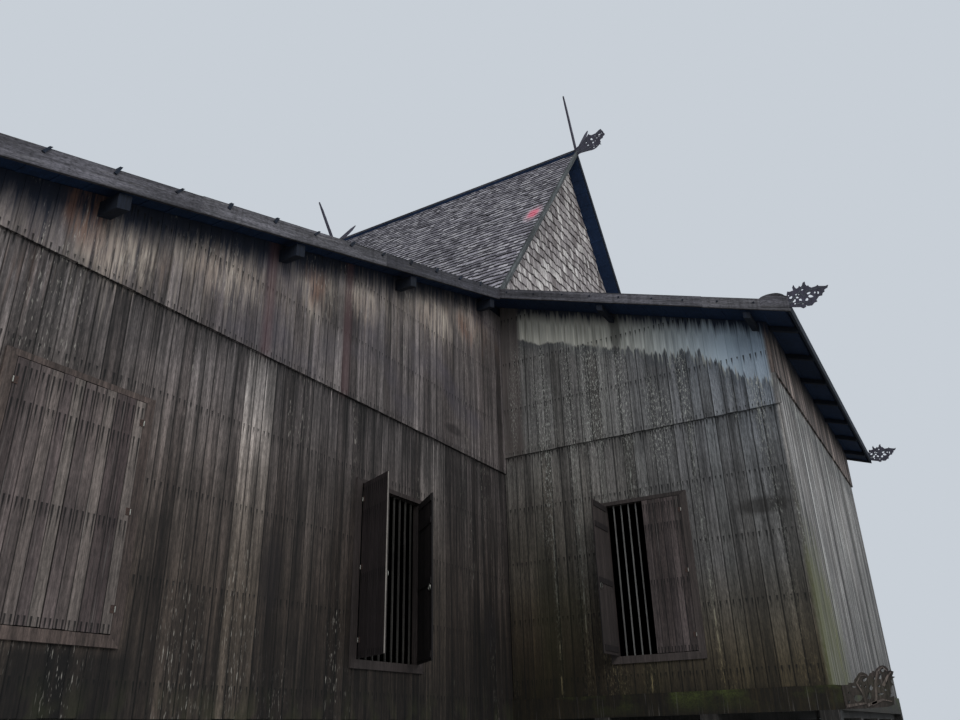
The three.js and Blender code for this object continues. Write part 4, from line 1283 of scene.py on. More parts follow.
def gable(side, word):
    pile, spot = Pile(), facing("y", side, BODY_FACE)
    half = FOOT_X - 0.004
    shoulder, apex = high_soffit(half), high_soffit(0)
    outline = [(-half, GABLE_FOOT), (half, GABLE_FOOT), (half, shoulder), (0, apex), (-half, shoulder)]
    # The panel, tie beam and posts take the frame's finish, a painted shade.
    pile.slab(spot, outline, GABLE_PANEL, WALL_BACK, 0.4, 1)
    foot = wing_line(BODY_FACE) - 0.02
    meet = FOOT_X - (foot + 0.2 - FOOT_Z) / math.tan(HIGH_PITCH)
    bounds = [(-meet, foot), (meet, foot), (0, apex)]
    shingle(pile, spot, bounds, GABLE_COURSE, GABLE_WIDTHS, GABLE_LIFT, random.Random(230 + side),
            GABLE_UNEVEN, GABLE_MISSING, GABLE_GAP)
    beam = WING_FACE - 0.065
    tie = rectangle(-beam, beam, GABLE_FOOT - TIE_DEPTH, GABLE_FOOT)
    pile.slab(spot, tie, 0.0, -2 * POST_HALF, 0.5, 1)
    for at in (-beam + POST_HALF, -INNER_POST_AT, INNER_POST_AT, beam - POST_HALF):
        plan = rectangle(at - POST_HALF, at + POST_HALF, -2 * POST_HALF, 0.0)
        pile.post(spot, plan, FLOOR_TOP, GABLE_FOOT - TIE_DEPTH, 0.5, 1)
    raise_piece(f"gable_shingles_{word}", pile, [GABLE_SHINGLES, FRAME_WOOD], [f"gable_{word}"])


gable(-1, "near")
gable(1, "far")

# %% [markdown]
# ## Edge boards
# A board covers the ends of the battens along every sloping edge. On the long roofs a wedge
# holds each batten, and its dark tip stands up over the board. On the wings only the peg heads
# show, as a row of dark dots. The boards are spliced, and no two lengths line up quite. Their
# grain runs along them, so each point's `across` number tells how high up the board it lies.

# %% Edge boards
FIRST_WEDGE, WEDGE_SPACING, WEDGES = 4.283, 0.577, 15
WING_EDGE_DEPTH = 0.145
WING_PEGS_AT = [3.43 + 0.431 * i for i in range(9)]


def edge_run(pile, spot, line, start, end, depth, lengths, dice):
    """Boards below a sloping line, end to end, each a little out of line."""
    pitch = math.atan(abs(line(start) - line(end)) / (end - start))
    drop = depth / math.cos(pitch)
    u = start
    while u < end - 0.001:
        far = min(u + dice.uniform(*lengths), end)
        far = end if end - far < 0.8 else far
        sag = dice.uniform(0.0, 0.006)
        outline = [(u, line(u) - drop - sag), (far, line(far) - drop), (far, line(far)), (u, line(u) - sag)]
        pile.slab(spot, outline, 0.001, EDGE_THICK - dice.uniform(0, 0.005), dice.random(), 0, [0, 0, 1, 1])
        u = far


def wedges(pile, spot, line, places, dice):
    """Leaning wedges that come up through the top of the edge board."""
    for at in places:
        z, half = line(at), dice.uniform(0.013, 0.020)
        tip, lean = dice.uniform(0.012, 0.034), -dice.uniform(0.03, 0.07)
        outline = [(at - half, z - 0.055), (at + half, z - 0.050), (at + half + lean, z + tip),
                   (at - half + lean, z + tip + 0.008)]
        pile.slab(spot, outline, -0.02, EDGE_THICK + dice.uniform(0.006, 0.016), dice.random(), 1)


def peg_heads(pile, spot, line, places, below_top, dice):
    """Ten-sided heads of pegs driven through the edge board."""
    for at in places:
        u, z = at + dice.uniform(-0.02, 0.02), line(at) - below_top + dice.uniform(-0.008, 0.008)
        radius = dice.uniform(0.012, 0.016)
        outline = [(u + radius * math.cos(0.2 * math.pi * i), z + radius * math.sin(0.2 * math.pi * i))
                   for i in range(10)]
        pile.slab(spot, outline, 0.01, EDGE_THICK + 0.004, dice.random(), 1)


print("wedges on a rake:", WEDGES, "and pegs on a wing's:", len(WING_PEGS_AT))

# %% [markdown]
# ### The edge boards of the long roofs
# Each long roof has a rake board with fifteen wedges along both of its sloping edges and a plain
# eave board across its low end. The four rakes are drawn once, as seen from the near left, and
# the factors `side` and `end` mirror them to the other places.

# %% Edge boards of the low roofs
for end, word in ((-1, "left"), (1, "right")):
    pile, dice = Pile(), random.Random(240 + end)
    for side in (-1, 1):
        base = facing("y", side, VERGE_Y)

        def rake_spot(u, depth, z, base=base, end=end):
            return base(end * u, depth, z)

        edge_run(pile, rake_spot, low_line, FOOT_X + 0.031, LOW_EAVE + EDGE_THICK, EDGE_DEPTH,
                 (2.6, 4.2), dice)
        wedges(pile, rake_spot, low_line, [FIRST_WEDGE + WEDGE_SPACING * i for i in range(WEDGES)], dice)
    out = VERGE_Y + 0.002
    top = low_line(LOW_EAVE + EDGE_THICK)
    pile.slab(facing("x", end, LOW_EAVE), rectangle(-out, out, top - 0.175, top), 0.001, EDGE_THICK, 0.5, 0,
              [0, 0, 1, 1])
    raise_piece(f"edge_boards_low_{word}", pile, [EDGE_BOARDS, FRAME_WOOD],
                [f"low_barge_boards_{word}"])

# %% [markdown]
# ## Carved ends
# The edge boards of the wings end in leaves, a larger leaf stands out from the crossing of the
# verge boards, and a sill beam ends in a scroll. All are fretwork: a board sawn to a flaming
# outline with spikes, pierced with comma-shaped holes, and with raised ribs for its stems. The
# outlines are drawn point by point, since the uneven spikes are what makes them look carved.
# Filling between an outline and its holes is a job that Blender does in one call.


# %% Fretwork
def comma(u, v, length, width, turn):
    """A comma-shaped hole: round at one end, narrow at the other, turned in degrees."""
    cosine, sine = math.cos(math.radians(turn)), math.sin(math.radians(turn))
    ring = []
    for i in range(11):
        angle = 2 * math.pi * i / 11
        along = 0.5 * length * math.cos(angle)
        side = 0.5 * width * math.sin(angle) * (1 - 0.45 * math.cos(angle)) + 0.1 * along * math.cos(angle)
        ring.append((u + cosine * along - sine * side, v + sine * along + cosine * side))
    return ring


def rib(pile, spot, path, wide, faces, tone, finish):
    """A tapering raised stem along a path, on both faces of a carved board."""
    left, right = [], []
    for i, (u, v) in enumerate(path):
        (a, b), (c, d) = path[max(i - 1, 0)], path[min(i + 1, len(path) - 1)]
        length = math.hypot(c - a, d - b)
        half = 0.5 * wide * (1 - 0.8 * i / (len(path) - 1))
        left.append((u - half * (d - b) / length, v + half * (c - a) / length))
        right.append((u + half * (d - b) / length, v - half * (c - a) / length))
    for near, far in faces:
        for i in range(len(path) - 1):
            pile.slab(spot, [left[i], right[i], right[i + 1], left[i + 1]], near, far, tone, finish)


def carve(pile, spot, outline, holes, ribs, near, far, raised=0.003, wide=0.016, opened=1.22):
    """A pierced board with ribs that stand a little out of both faces."""
    rings = [comma(u, v, opened * length, opened * width, turn) for u, v, length, width, turn in holes]
    pile.pierced(spot, [outline, *rings], near + raised, far - raised, 0.4)
    for path in ribs:
        rib(pile, spot, path, wide, ((near, near + 2 * raised), (far - 2 * raised, far)), 0.5, 1)


print("points around one pierced hole:", len(comma(0, 0, 0.1, 0.05, 0)))

# %% [markdown]
# ### The edge boards and leaves of the wings
# At its low end each rake board of a wing swells to a hump, and a leaf of 47 cm runs on from it
# beyond the eave. The hump is drawn back from the board's tip and the leaf forward from it, so
# both follow when the eave moves. The eave board between two leaves lies in the shade and is
# darker than the rakes.

# %% Edge boards and leaves of the wings
EAVE_LEAF = [
    (-0.010, 0.068), (0.005, 0.115), (0.030, 0.104), (0.073, 0.108), (0.070, 0.150), (0.090, 0.183),
    (0.100, 0.146), (0.114, 0.121), (0.139, 0.130), (0.150, 0.151), (0.165, 0.130), (0.183, 0.145),
    (0.196, 0.177), (0.222, 0.188), (0.224, 0.147), (0.238, 0.120), (0.254, 0.128), (0.260, 0.105),
    (0.282, 0.085), (0.338, 0.088), (0.354, 0.102), (0.367, 0.081), (0.437, 0.060), (0.470, 0.066),
    (0.454, 0.034), (0.416, 0.019), (0.417, -0.004), (0.391, -0.020), (0.381, -0.049), (0.345, -0.048),
    (0.310, -0.084), (0.313, -0.113), (0.282, -0.116), (0.248, -0.145), (0.198, -0.139), (0.182, -0.120),
    (0.180, -0.145), (0.147, -0.156), (0.117, -0.131), (0.050, -0.112), (-0.010, -0.090)]
EAVE_LEAF_HOLES = [
    (0.034, 0.026, 0.036, 0.026, 40), (0.012, 0.058, 0.018, 0.012, 10), (0.020, -0.042, 0.022, 0.016, 0),
    (0.060, -0.022, 0.048, 0.036, 70), (0.066, -0.068, 0.020, 0.014, 80), (0.112, 0.040, 0.044, 0.020, -15),
    (0.104, 0.002, 0.032, 0.020, -40), (0.134, -0.038, 0.034, 0.022, -50), (0.176, 0.090, 0.024, 0.018, 0),
    (0.160, -0.092, 0.038, 0.020, -15), (0.242, 0.024, 0.040, 0.024, 15), (0.256, -0.026, 0.050, 0.030, -30),
    (0.206, -0.052, 0.036, 0.026, 70), (0.308, 0.012, 0.024, 0.016, 90), (0.344, 0.000, 0.034, 0.014, 90)]
EAVE_LEAF_RIBS = [
    [(0.000, -0.066), (0.080, 0.012), (0.135, 0.062), (0.185, 0.122), (0.214, 0.172)],
    [(0.150, 0.040), (0.178, -0.010), (0.220, 0.058), (0.300, 0.052), (0.380, 0.052), (0.450, 0.058)],
    [(0.080, -0.085), (0.130, -0.080), (0.190, -0.098), (0.260, -0.090)]]


def wing_edges(side, word):
    pile, carved, dice = Pile(), Pile(), random.Random(250 + side)
    tip = WING_EAVE + EDGE_THICK
    top = wing_line(tip)
    hump_start = tip - 0.33
    hump = [(hump_start, wing_line(hump_start) - 0.12), (tip, top - 0.110), (tip, top + 0.050),
            (tip - 0.030, top + 0.066), (tip - 0.060, top + 0.098), (tip - 0.103, top + 0.123),
            (tip - 0.140, top + 0.135), (tip - 0.187, top + 0.140), (tip - 0.240, top + 0.141),
            (tip - 0.303, top + 0.130), (hump_start, wing_line(hump_start))]
    for end in (-1, 1):
        base = facing("x", end, FOOT_X)

        def rake_spot(u, depth, z, base=base):
            return base(side * u, depth, z)

        def leaf_spot(u, depth, v, rake_spot=rake_spot):
            return rake_spot(tip + u, depth, top + v)

        edge_run(pile, rake_spot, wing_line, VERGE_Y + 0.001, tip, WING_EDGE_DEPTH, (2.4, 4.5), dice)
        pile.slab(rake_spot, hump, 0.001, EDGE_THICK + 0.001, 0.6, 0, [0, 0, 1, 1, 1, 1, 1, 1, 1, 1, 1])
        peg_heads(pile, rake_spot, wing_line, WING_PEGS_AT, 0.057, dice)
        carve(carved, leaf_spot, EAVE_LEAF, EAVE_LEAF_HOLES, EAVE_LEAF_RIBS, 0.006, 0.024)
    eave = rectangle(-FOOT_X, FOOT_X, top - WING_EDGE_DEPTH, top)
    # Painted shade: the eave board takes the frame's dark finish.
    pile.slab(facing("y", side, WING_EAVE), eave, 0.001, EDGE_THICK, 0.5, 1)
    raise_piece(f"edge_boards_wing_{word}", pile, [EDGE_BOARDS, FRAME_WOOD],
                [f"wing_barge_boards_{word}"])
    raise_piece(f"eave_leaves_{word}", carved, [CARVING, CARVED_RIBS])


wing_edges(-1, "near")
wing_edges(1, "far")

# %% [markdown]
# ### Verge boards, horns and the ridge leaf
# Two narrow boards follow each gable's slopes and cross at the ridge. Beyond the crossing each
# runs on as a tapered horn with small holes, and a broad leaf points outward from the crossing.
# The boards end where the wing's roof comes under them. The right-hand board of each pair is
# the darker one, in the finish of the frame, a painted shade. The horns share one outline, which
# is counted from the crossing to the tip, so that each of the four can have a length and lean of
# its own.

# %% Verge boards, horns and the ridge leaf
HORN_DROP, HORN_HALF = 0.095, 0.050
HORN_TIPS = {"near": ((-0.480, 13.900), (0.790, 13.870)), "far": ((-0.651, 13.600), (0.757, 13.705))}
RIDGE_LEAF = [
    (-0.015, 0.060), (0.095, 0.115), (0.205, 0.197), (0.273, 0.277), (0.300, 0.303), (0.312, 0.266),
    (0.354, 0.240), (0.450, 0.247), (0.483, 0.270), (0.529, 0.298), (0.574, 0.310), (0.588, 0.268),
    (0.618, 0.226), (0.622, 0.190), (0.648, 0.152), (0.638, 0.120), (0.604, 0.106), (0.598, 0.068),
    (0.560, 0.060), (0.530, 0.036), (0.544, -0.009), (0.528, -0.038), (0.548, -0.088), (0.508, -0.066),
    (0.456, -0.110), (0.390, -0.138), (0.330, -0.139), (0.250, -0.125), (0.090, -0.108), (-0.015, -0.120)]
RIDGE_LEAF_HOLES = [
    (0.348, 0.134, 0.060, 0.032, -60), (0.378, 0.040, 0.036, 0.034, 0), (0.226, 0.100, 0.028, 0.024, 40),
    (0.262, 0.018, 0.032, 0.028, 0), (0.534, 0.180, 0.050, 0.028, 10), (0.516, 0.138, 0.026, 0.018, 40),
    (0.466, 0.122, 0.028, 0.020, 60), (0.430, 0.056, 0.022, 0.016, 0), (0.320, -0.070, 0.044, 0.026, -20),
    (0.384, -0.092, 0.034, 0.022, 60), (0.386, -0.034, 0.020, 0.018, 0), (0.452, -0.070, 0.034, 0.014, 30),
    (0.276, -0.074, 0.022, 0.016, 80), (0.582, 0.194, 0.022, 0.014, -50), (0.440, 0.190, 0.030, 0.014, 15)]
RIDGE_LEAF_RIBS = [
    [(0.000, -0.020), (0.120, 0.050), (0.210, 0.150), (0.290, 0.240)],
    [(0.000, -0.050), (0.170, -0.040), (0.310, 0.010), (0.400, 0.130), (0.500, 0.230), (0.570, 0.290)],
    [(0.100, -0.085), (0.220, -0.098), (0.420, -0.040), (0.500, 0.010)]]


def horn(pile, spot, tip, near, far):
    """A tapered blade from the crossing up to its tip, pierced with a row of small holes."""
    foot_z = high_line(0) - HORN_DROP
    u, rise = tip[0], tip[1] - foot_z
    length = math.hypot(u, rise)

    def at(share, side):
        return (share * u + side * HORN_HALF * rise / length,
                foot_z + share * rise - side * HORN_HALF * u / length)

    outline = [at(0, -1), at(0, 1), at(0.3, 0.92), at(0.34, 1.0), at(0.38, 0.84), at(0.6, 0.78),
               at(0.64, 0.86), at(0.68, 0.7), at(0.8, 0.68), at(1, 0.1), at(1, -0.3), at(0.8, -0.7),
               at(0.5, -0.85)]
    turn = math.degrees(math.atan2(rise, u))
    holes = [comma(*at(share, 0.0), 0.046, 0.016 * (1.25 - share), turn) for share in
             (0.26, 0.36, 0.46, 0.56, 0.66, 0.76, 0.86)]
    pile.pierced(spot, [outline, *holes], near, far, 0.35)


def verge(side, word):
    pile, carved = Pile(), Pile()
    spot = facing("y", side, VERGE_Y)
    drop = VERGE_DEPTH / math.cos(HIGH_PITCH)
    apex, rise = high_line(0), math.tan(HIGH_PITCH)
    seat = wing_line(VERGE_Y + EDGE_THICK)
    low = FOOT_X - (seat + drop - FOOT_Z) / rise
    for end in (-1, 1):

        def slope_spot(u, depth, z, end=end):
            return spot(end * u, depth, z)

        board = [(0.0, apex - drop), (low, seat), (FOOT_X, seat), (FOOT_X, FOOT_Z), (0.0, apex)]
        back, face = 0.001 + 0.002 * (end + 1), EDGE_THICK - 0.002 * (end + 1)
        # The right-hand board takes the frame's finish, a painted shade.
        pile.slab(slope_spot, board, back, face, 0.35 + 0.3 * end, (end + 1) // 2, [0, 0, 1, 1, 1])
        horn(carved, spot, HORN_TIPS[word][(end + 1) // 2], back + 0.001, face - 0.001)

    def leaf_spot(u, depth, v):
        return depth, side * (VERGE_Y + EDGE_THICK + u), apex + v

    carve(carved, leaf_spot, RIDGE_LEAF, RIDGE_LEAF_HOLES, RIDGE_LEAF_RIBS, -0.009, 0.009, 0.003, 0.018)
    raise_piece(f"verge_boards_{word}_pair", pile, [VERGE_BOARDS, FRAME_WOOD],
                [f"verge_boards_{word}"])
    raise_piece(f"horns_{word}", carved, [CARVING, CARVED_RIBS])


verge(-1, "near")
verge(1, "far")

# %% [markdown]
# ### Sill beams and scrolls
# The measured sill beams end in plain blanks where the carving goes. A copy of each beam is sawn
# off at the carving's root, and a pierced scroll takes the blank's place after a narrow open
# joint.


# %% Sill beams, sawn off at the carving
def sawn_copy(name, node, material, reach):
    """A copy of a measured solid without what lies beyond a distance along Y, both ways."""
    form = bmesh.new()
    form.from_mesh(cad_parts[node].data)
    bmesh.ops.remove_doubles(form, verts=form.verts, dist=1e-5)
    for side in (-1, 1):
        geometry = [*form.verts, *form.edges, *form.faces]
        cut = bmesh.ops.bisect_plane(form, geom=geometry, dist=1e-6, plane_co=(0, side * reach, 0),
                                     plane_no=(0, side, 0), clear_outer=True)
        rim = [part for part in cut["geom_cut"] if isinstance(part, bmesh.types.BMEdge)]
        if rim:
            bmesh.ops.holes_fill(form, edges=rim, sides=0)
    bmesh.ops.recalc_face_normals(form, faces=form.faces)
    mesh = bpy.data.meshes.new(name)
    form.to_mesh(mesh)
    form.free()
    mesh.materials.append(material)
    for key in ("tone", "across"):
        mesh.attributes.new(key, "FLOAT", "POINT").data.foreach_set("value", [0.5] * len(mesh.vertices))
    thing = bpy.data.objects.new(name, mesh)
    bpy.context.scene.collection.objects.link(thing)
    print(f"{name}: {len(mesh.polygons)} faces")
    return ride_on_house(thing, [node])


print("beams to saw off:", [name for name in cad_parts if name.startswith("wing_sills")])

# %% [markdown]
# ### The scrolls
# The scroll is the thickest carving, 10 cm, with wide stems that stand out 8 mm and two curled
# lobes that rise beyond the end of the sill. Three of the four are there. On the near wing the
# right one is missing, as happens on an old house, and its beam simply ends.

# %% Scrolls
SILL_FOOT, SILL_THICK = 1.715, 0.100
SCROLL_ROOT, OPEN_JOINT = 0.066, 0.005
SCROLL = [
    (SCROLL_ROOT, 0.000), (0.300, 0.004), (0.470, 0.012), (0.540, 0.030), (0.548, 0.110), (0.500, 0.096),
    (0.526, 0.139), (0.530, 0.170), (0.543, 0.206), (0.566, 0.222), (0.553, 0.238), (0.551, 0.258),
    (0.566, 0.278), (0.592, 0.294), (0.562, 0.300), (0.578, 0.320), (0.590, 0.347), (0.566, 0.358),
    (0.545, 0.346), (0.545, 0.372), (0.532, 0.398), (0.504, 0.410), (0.466, 0.400), (0.434, 0.376),
    (0.415, 0.350), (0.402, 0.362), (0.386, 0.344), (0.362, 0.336), (0.344, 0.302), (0.334, 0.330),
    (0.312, 0.348), (0.282, 0.354), (0.256, 0.342), (0.234, 0.314), (0.200, 0.280), (0.190, 0.252),
    (0.142, 0.256), (0.134, 0.238), (SCROLL_ROOT, 0.236)]
SCROLL_HOLES = [
    (0.210, 0.104, 0.108, 0.074, 10), (0.112, 0.072, 0.034, 0.026, 60), (0.318, 0.122, 0.088, 0.040, 75),
    (0.348, 0.200, 0.066, 0.042, 80), (0.308, 0.282, 0.072, 0.034, 35), (0.498, 0.364, 0.056, 0.036, 30),
    (0.462, 0.304, 0.078, 0.032, 65), (0.298, 0.214, 0.028, 0.020, 50), (0.184, 0.214, 0.060, 0.018, -10),
    (0.246, 0.220, 0.030, 0.022, 20), (0.500, 0.250, 0.058, 0.038, 80), (0.430, 0.132, 0.074, 0.024, 10),
    (0.430, 0.212, 0.040, 0.022, 40), (0.402, 0.290, 0.040, 0.020, 60), (0.128, 0.160, 0.026, 0.018, 80),
    (0.480, 0.170, 0.034, 0.018, -20)]
SCROLL_RIBS = [
    [(0.080, 0.030), (0.160, 0.040), (0.272, 0.052), (0.262, 0.150), (0.220, 0.250), (0.270, 0.318),
     (0.322, 0.320)],
    [(0.280, 0.030), (0.370, 0.060), (0.390, 0.150), (0.400, 0.240), (0.440, 0.350), (0.500, 0.394),
     (0.536, 0.350)],
    [(0.330, 0.040), (0.440, 0.080), (0.520, 0.060)], [(0.470, 0.210), (0.530, 0.300), (0.570, 0.340)]]
root = WING_END + 0.020
sawn_at = root + SCROLL_ROOT - OPEN_JOINT
for side, word, ends in ((-1, "near", (-1,)), (1, "far", (-1, 1))):
    sawn_copy(f"sill_beams_{word}", f"wing_sills_{word}", SILLS, sawn_at)
    carved = Pile()
    for end in ends:
        def sill_spot(u, depth, v, side=side, end=end):
            return end * (WING_FACE + 0.02 - depth), side * (root + u), SILL_FOOT + v

        carve(carved, sill_spot, SCROLL, SCROLL_HOLES, SCROLL_RIBS, 0.002, SILL_THICK - 0.002,
              raised=0.008, wide=0.030, opened=0.85)
    raise_piece(f"sill_scrolls_{word}", carved, [SCROLL_WOOD, SCROLL_STEMS])

# %% [markdown]
# ## Hinge steel
# The shutters hang on galvanised pins, and the painted straps have rusted. Zinc is a metal with
# a dulled mirror and crystals 11 mm across. Rust is an oxide, so it scatters light as earth
# does, in scales of 8 mm.

# %% Steel and rust
def steel_finish():
    """Galvanised steel: a thin zinc coat, spangled and dulled by rain."""
    material, add = new_finish("galvanised_steel")
    place = wood_places(add)[0]
    spangle = cloud(add, place, (90.0, 90.0, 90.0), 0.0, 2.0)
    colour = add("ValToRGB", spangle, stops=[(0.3, "#7d7d78"), (0.7, "#adaca3")])
    surface = add("BsdfPrincipled", named={
        "Base Color": colour, "Metallic": 1.0, "Roughness": add("MapRange", spangle, 0.3, 0.7, 0.35, 0.6)})
    add("OutputMaterial", surface)
    return material


def rusty_finish():
    """Mild steel straps, rusted brown right through their paint: rough, with no mirror left."""
    material, add = new_finish("rusted_steel")
    place = wood_places(add)[0]
    crust = cloud(add, place, (120.0, 120.0, 120.0), 0.0, 3.0)
    colour = add("ValToRGB", crust, stops=[(0.35, "#2a211e"), (0.65, "#4a342b")])
    lift = add("Bump", 0.5, 0.001, named={"Height": crust})
    add("OutputMaterial", add("BsdfPrincipled", named={
        "Base Color": colour, "Roughness": 0.85, "Normal": lift}))
    return material


STEEL, RUST = steel_finish(), rusty_finish()
print("steel finishes:", STEEL.name, RUST.name)

# %% [markdown]
# ## Windows
# Each window has a lining and mitred trim around it, narrower at the head, and upright bars in
# what is open. The same functions make all twelve, so only sizes, angles and finishes differ.

# %% Window frames and bars
TRIM_WIDTH, HEAD_TRIM, TRIM_THICK, LINING_BACK = 0.085, 0.048, 0.025, -0.074
BARS_ACROSS, BAR_HALF, BAR_DEPTHS, BAR_TENON = 9, 0.006, (-0.045, -0.027), 0.01


def in_window(centre, turn):
    """Points in a window's own frame: u along the wall, depth out of it."""
    cosine, sine = round(math.cos(turn)), round(math.sin(turn))

    def spot(u, depth, z):
        return (centre[0] + cosine * u + sine * depth, centre[1] + sine * u - cosine * depth, centre[2] + z)

    return spot


def window_frame(pile, spot, size, dice):
    half, height = size["width"] / 2, size["height"]
    wide = half + TRIM_WIDTH
    low, high = -TRIM_WIDTH, height + HEAD_TRIM
    mitred = [
        [(-wide, low), (wide, low), (half, 0), (-half, 0)],
        [(wide, low), (wide, high), (half, height), (half, 0)],
        [(wide, high), (-wide, high), (-half, height), (half, height)],
        [(-wide, high), (-wide, low), (-half, 0), (-half, height)],
    ]
    for outline in mitred:
        pile.slab(spot, outline, 0.001, TRIM_THICK - dice.uniform(0, 0.003), dice.random())
    lined = half + LINING
    level = [(-LINING, 0), (height, height + LINING)]
    lining = [rectangle(-lined, lined, *heights) for heights in level]
    lining += [rectangle(-lined, -half, 0, height), rectangle(half, lined, 0, height)]
    for outline in lining:
        pile.slab(spot, outline, LINING_BACK, TRIM_THICK - 0.005, 0.3)


def window_bars(pile, spot, size, finish):
    """Upright bars about a hand's width apart, tenoned into the lining."""
    for i in range(1, BARS_ACROSS + 1):
        u = size["width"] * (i / (BARS_ACROSS + 1) - 0.5)
        plan = rectangle(u - BAR_HALF, u + BAR_HALF, *BAR_DEPTHS)
        pile.post(spot, plan, -BAR_TENON, size["height"] + BAR_TENON, 0.5, finish)


print("bars in an open window:", BARS_ACROSS)

# %% [markdown]
# ### Shutters
# A shutter has six boards, held by four battens on the inside, and hangs on three steel hinges.
# Its boards are laid in the leaf's own frame, which turns about the hinges, so one function
# makes a leaf at any angle. A leaf that stands wide open shows a worn, pale edge.

# %% Shutters
HINGE_OUT, HINGE_RADIUS, HINGE_HEIGHT = 0.032, 0.005, 0.042
STRAP_LONG, STRAP_HALF = 0.036, 0.028
LEAF_FRONT, LEAF_BACK, LEAF_MIDDLE = -0.004, -0.032, -0.021
LEAF_BOARDS, LEAF_PLAY, BEVEL, HALF_JOINT = 6, 0.002, 0.004, 0.0005
BATTENS_AT, HINGES_AT, BATTEN_HALF = (0.03, 0.17, 0.54, 0.96), (0.1, 0.5, 0.9), 0.034


def ring_pull(pile, spot, s, depth, z, finish):
    """A steel ring that hangs on the inner side of a shutter."""
    radius, wire, steps = 0.034, 0.003, 14

    def around(angle):
        corners = [(radius + wide * wire, deep * wire) for wide, deep in ((-1, -1), (1, -1), (1, 1), (-1, 1))]
        return [spot(s + r * math.cos(angle), depth + out, z + r * math.sin(angle)) for r, out in corners]

    for i in range(steps):
        rings = [around(2 * math.pi * step / steps) for step in (i, i + 1)]
        pile.solid(*rings, 0.5, None, finish)


def shutter(pile, spot, size, side, angle, dice, ring=False, last_tone=None, worn=False):
    """A leaf hung at one side: 0 outside, 1 inside, 2 steel, 3 rust, 4 battens, 5 worn edge."""
    hang = side * size["width"] / 2
    cosine, sine = math.cos(angle), math.sin(angle)

    def leaf_spot(s, out, z):
        u = hang - side * cosine * s + side * sine * out
        return spot(u, HINGE_OUT + sine * s + cosine * out, z)

    width, height = size["width"] / 2 - LEAF_PLAY, size["height"]
    edges = [LEAF_PLAY + (width - LEAF_PLAY) * i / LEAF_BOARDS for i in range(LEAF_BOARDS + 1)]
    for a, b in zip(edges, edges[1:]):
        tone = dice.random() if b < width or last_tone is None else last_tone
        front = LEAF_FRONT - dice.uniform(0, 0.0025)
        section = [
            (a + HALF_JOINT, LEAF_MIDDLE), (a + HALF_JOINT, front - 0.003), (a + BEVEL, front),
            (b - BEVEL, front), (b - HALF_JOINT, front - 0.003), (b - HALF_JOINT, LEAF_MIDDLE),
        ]
        ends = (0.004 + dice.uniform(0, 0.004), height - 0.004 - dice.uniform(0, 0.004))
        rings = [[leaf_spot(s, out, z) for s, out in section] for z in ends]
        pile.solid(*rings, tone, [(s - a) / (b - a) for s, _ in section])
        inner_face = rectangle(a + 0.001, b - 0.001, *ends)
        pile.slab(leaf_spot, inner_face, LEAF_MIDDLE, LEAF_MIDDLE - 0.002, tone, 1)
    for share in BATTENS_AT:
        z = height * (1 - share)
        batten = rectangle(0.02, width - 0.02, z - BATTEN_HALF, z + BATTEN_HALF)
        pile.slab(leaf_spot, batten, LEAF_MIDDLE - 0.002, LEAF_BACK, 0.2, 4)
    for share in HINGES_AT:
        z = share * height
        plan = [(HINGE_RADIUS * math.cos(a), HINGE_RADIUS * math.sin(a)) for a in
                (2 * math.pi * i / 10 for i in range(10))]
        pile.post(leaf_spot, plan, z - HINGE_HEIGHT / 2, z + HINGE_HEIGHT / 2, 0.5, 2)
        strap = rectangle(0.0, STRAP_LONG, z - STRAP_HALF, z + STRAP_HALF)
        pile.slab(leaf_spot, strap, LEAF_FRONT + 0.0025, LEAF_FRONT - 0.001, 0.5, 3)
    if worn:
        edge = rectangle(width - 0.0015, width, 0.01, height - 0.01)
        pile.slab(leaf_spot, edge, LEAF_MIDDLE + 0.004, LEAF_FRONT, 0.5, 5)
    if ring:
        ring_pull(pile, leaf_spot, width - 0.045, LEAF_BACK - 0.006, 0.42 * height, 2)


print("boards, battens and hinges of a leaf:", LEAF_BOARDS, len(BATTENS_AT), len(HINGES_AT))

# %% [markdown]
# ### Hanging the windows
# Three windows show best: one is shut, one stands wide open and one has a leaf open and one shut.
# Their frames and leaves are pieces of their own, so each stands for one measured solid. The
# nine others are shut and are one piece each. Each window's own seed makes its boards differ
# from its neighbour's.

# %% Hang all twelve windows
def seen_window(name, centre, turn, size, left, right, seed, outside, inside, bars=BARS, trim=TRIM):
    """A window in view: its frame and both leaves are pieces of their own."""
    spot, dice = in_window(centre, turn), random.Random(seed)
    casing = Pile()
    window_frame(casing, spot, size, dice)
    if left or right:
        window_bars(casing, spot, size, 1)
    raise_piece(f"{name}_casing", casing, [trim, bars], [f"{name}_frame"])
    finishes = [outside, inside, STEEL, RUST, SHUTTER_INSIDE, WORN_EDGE]
    for word, side, angle in (("left", -1, left), ("right", 1, right)):
        leaf = Pile()
        last_tone = 1.0 if side < 0 and angle == 0 else None
        shutter(leaf, spot, size, side, math.radians(angle), dice, angle > 0, last_tone, angle > 90)
        raise_piece(f"{name}_{word}_leaf", leaf, finishes, [f"{name}_{word}_shutter"])


def shut_window(name, centre, turn, size, seed, outside):
    """A window on a side that is out of view, as one piece."""
    spot, dice, pile = in_window(centre, turn), random.Random(seed), Pile()
    for side in (-1, 1):
        shutter(pile, spot, size, side, 0.0, dice)
    casing = Pile()
    window_frame(casing, spot, size, dice)
    start = len(pile.points)
    pile.points += casing.points
    pile.faces += [tuple(start + i for i in face) for face in casing.faces]
    pile.finishes += [5] * len(casing.faces)
    pile.tone += casing.tone
    pile.across += casing.across
    finishes = [outside, SHUTTER_INSIDE, STEEL, RUST, SHUTTER_INSIDE, TRIM]
    raise_piece(f"{name}_whole", pile, finishes, [name])


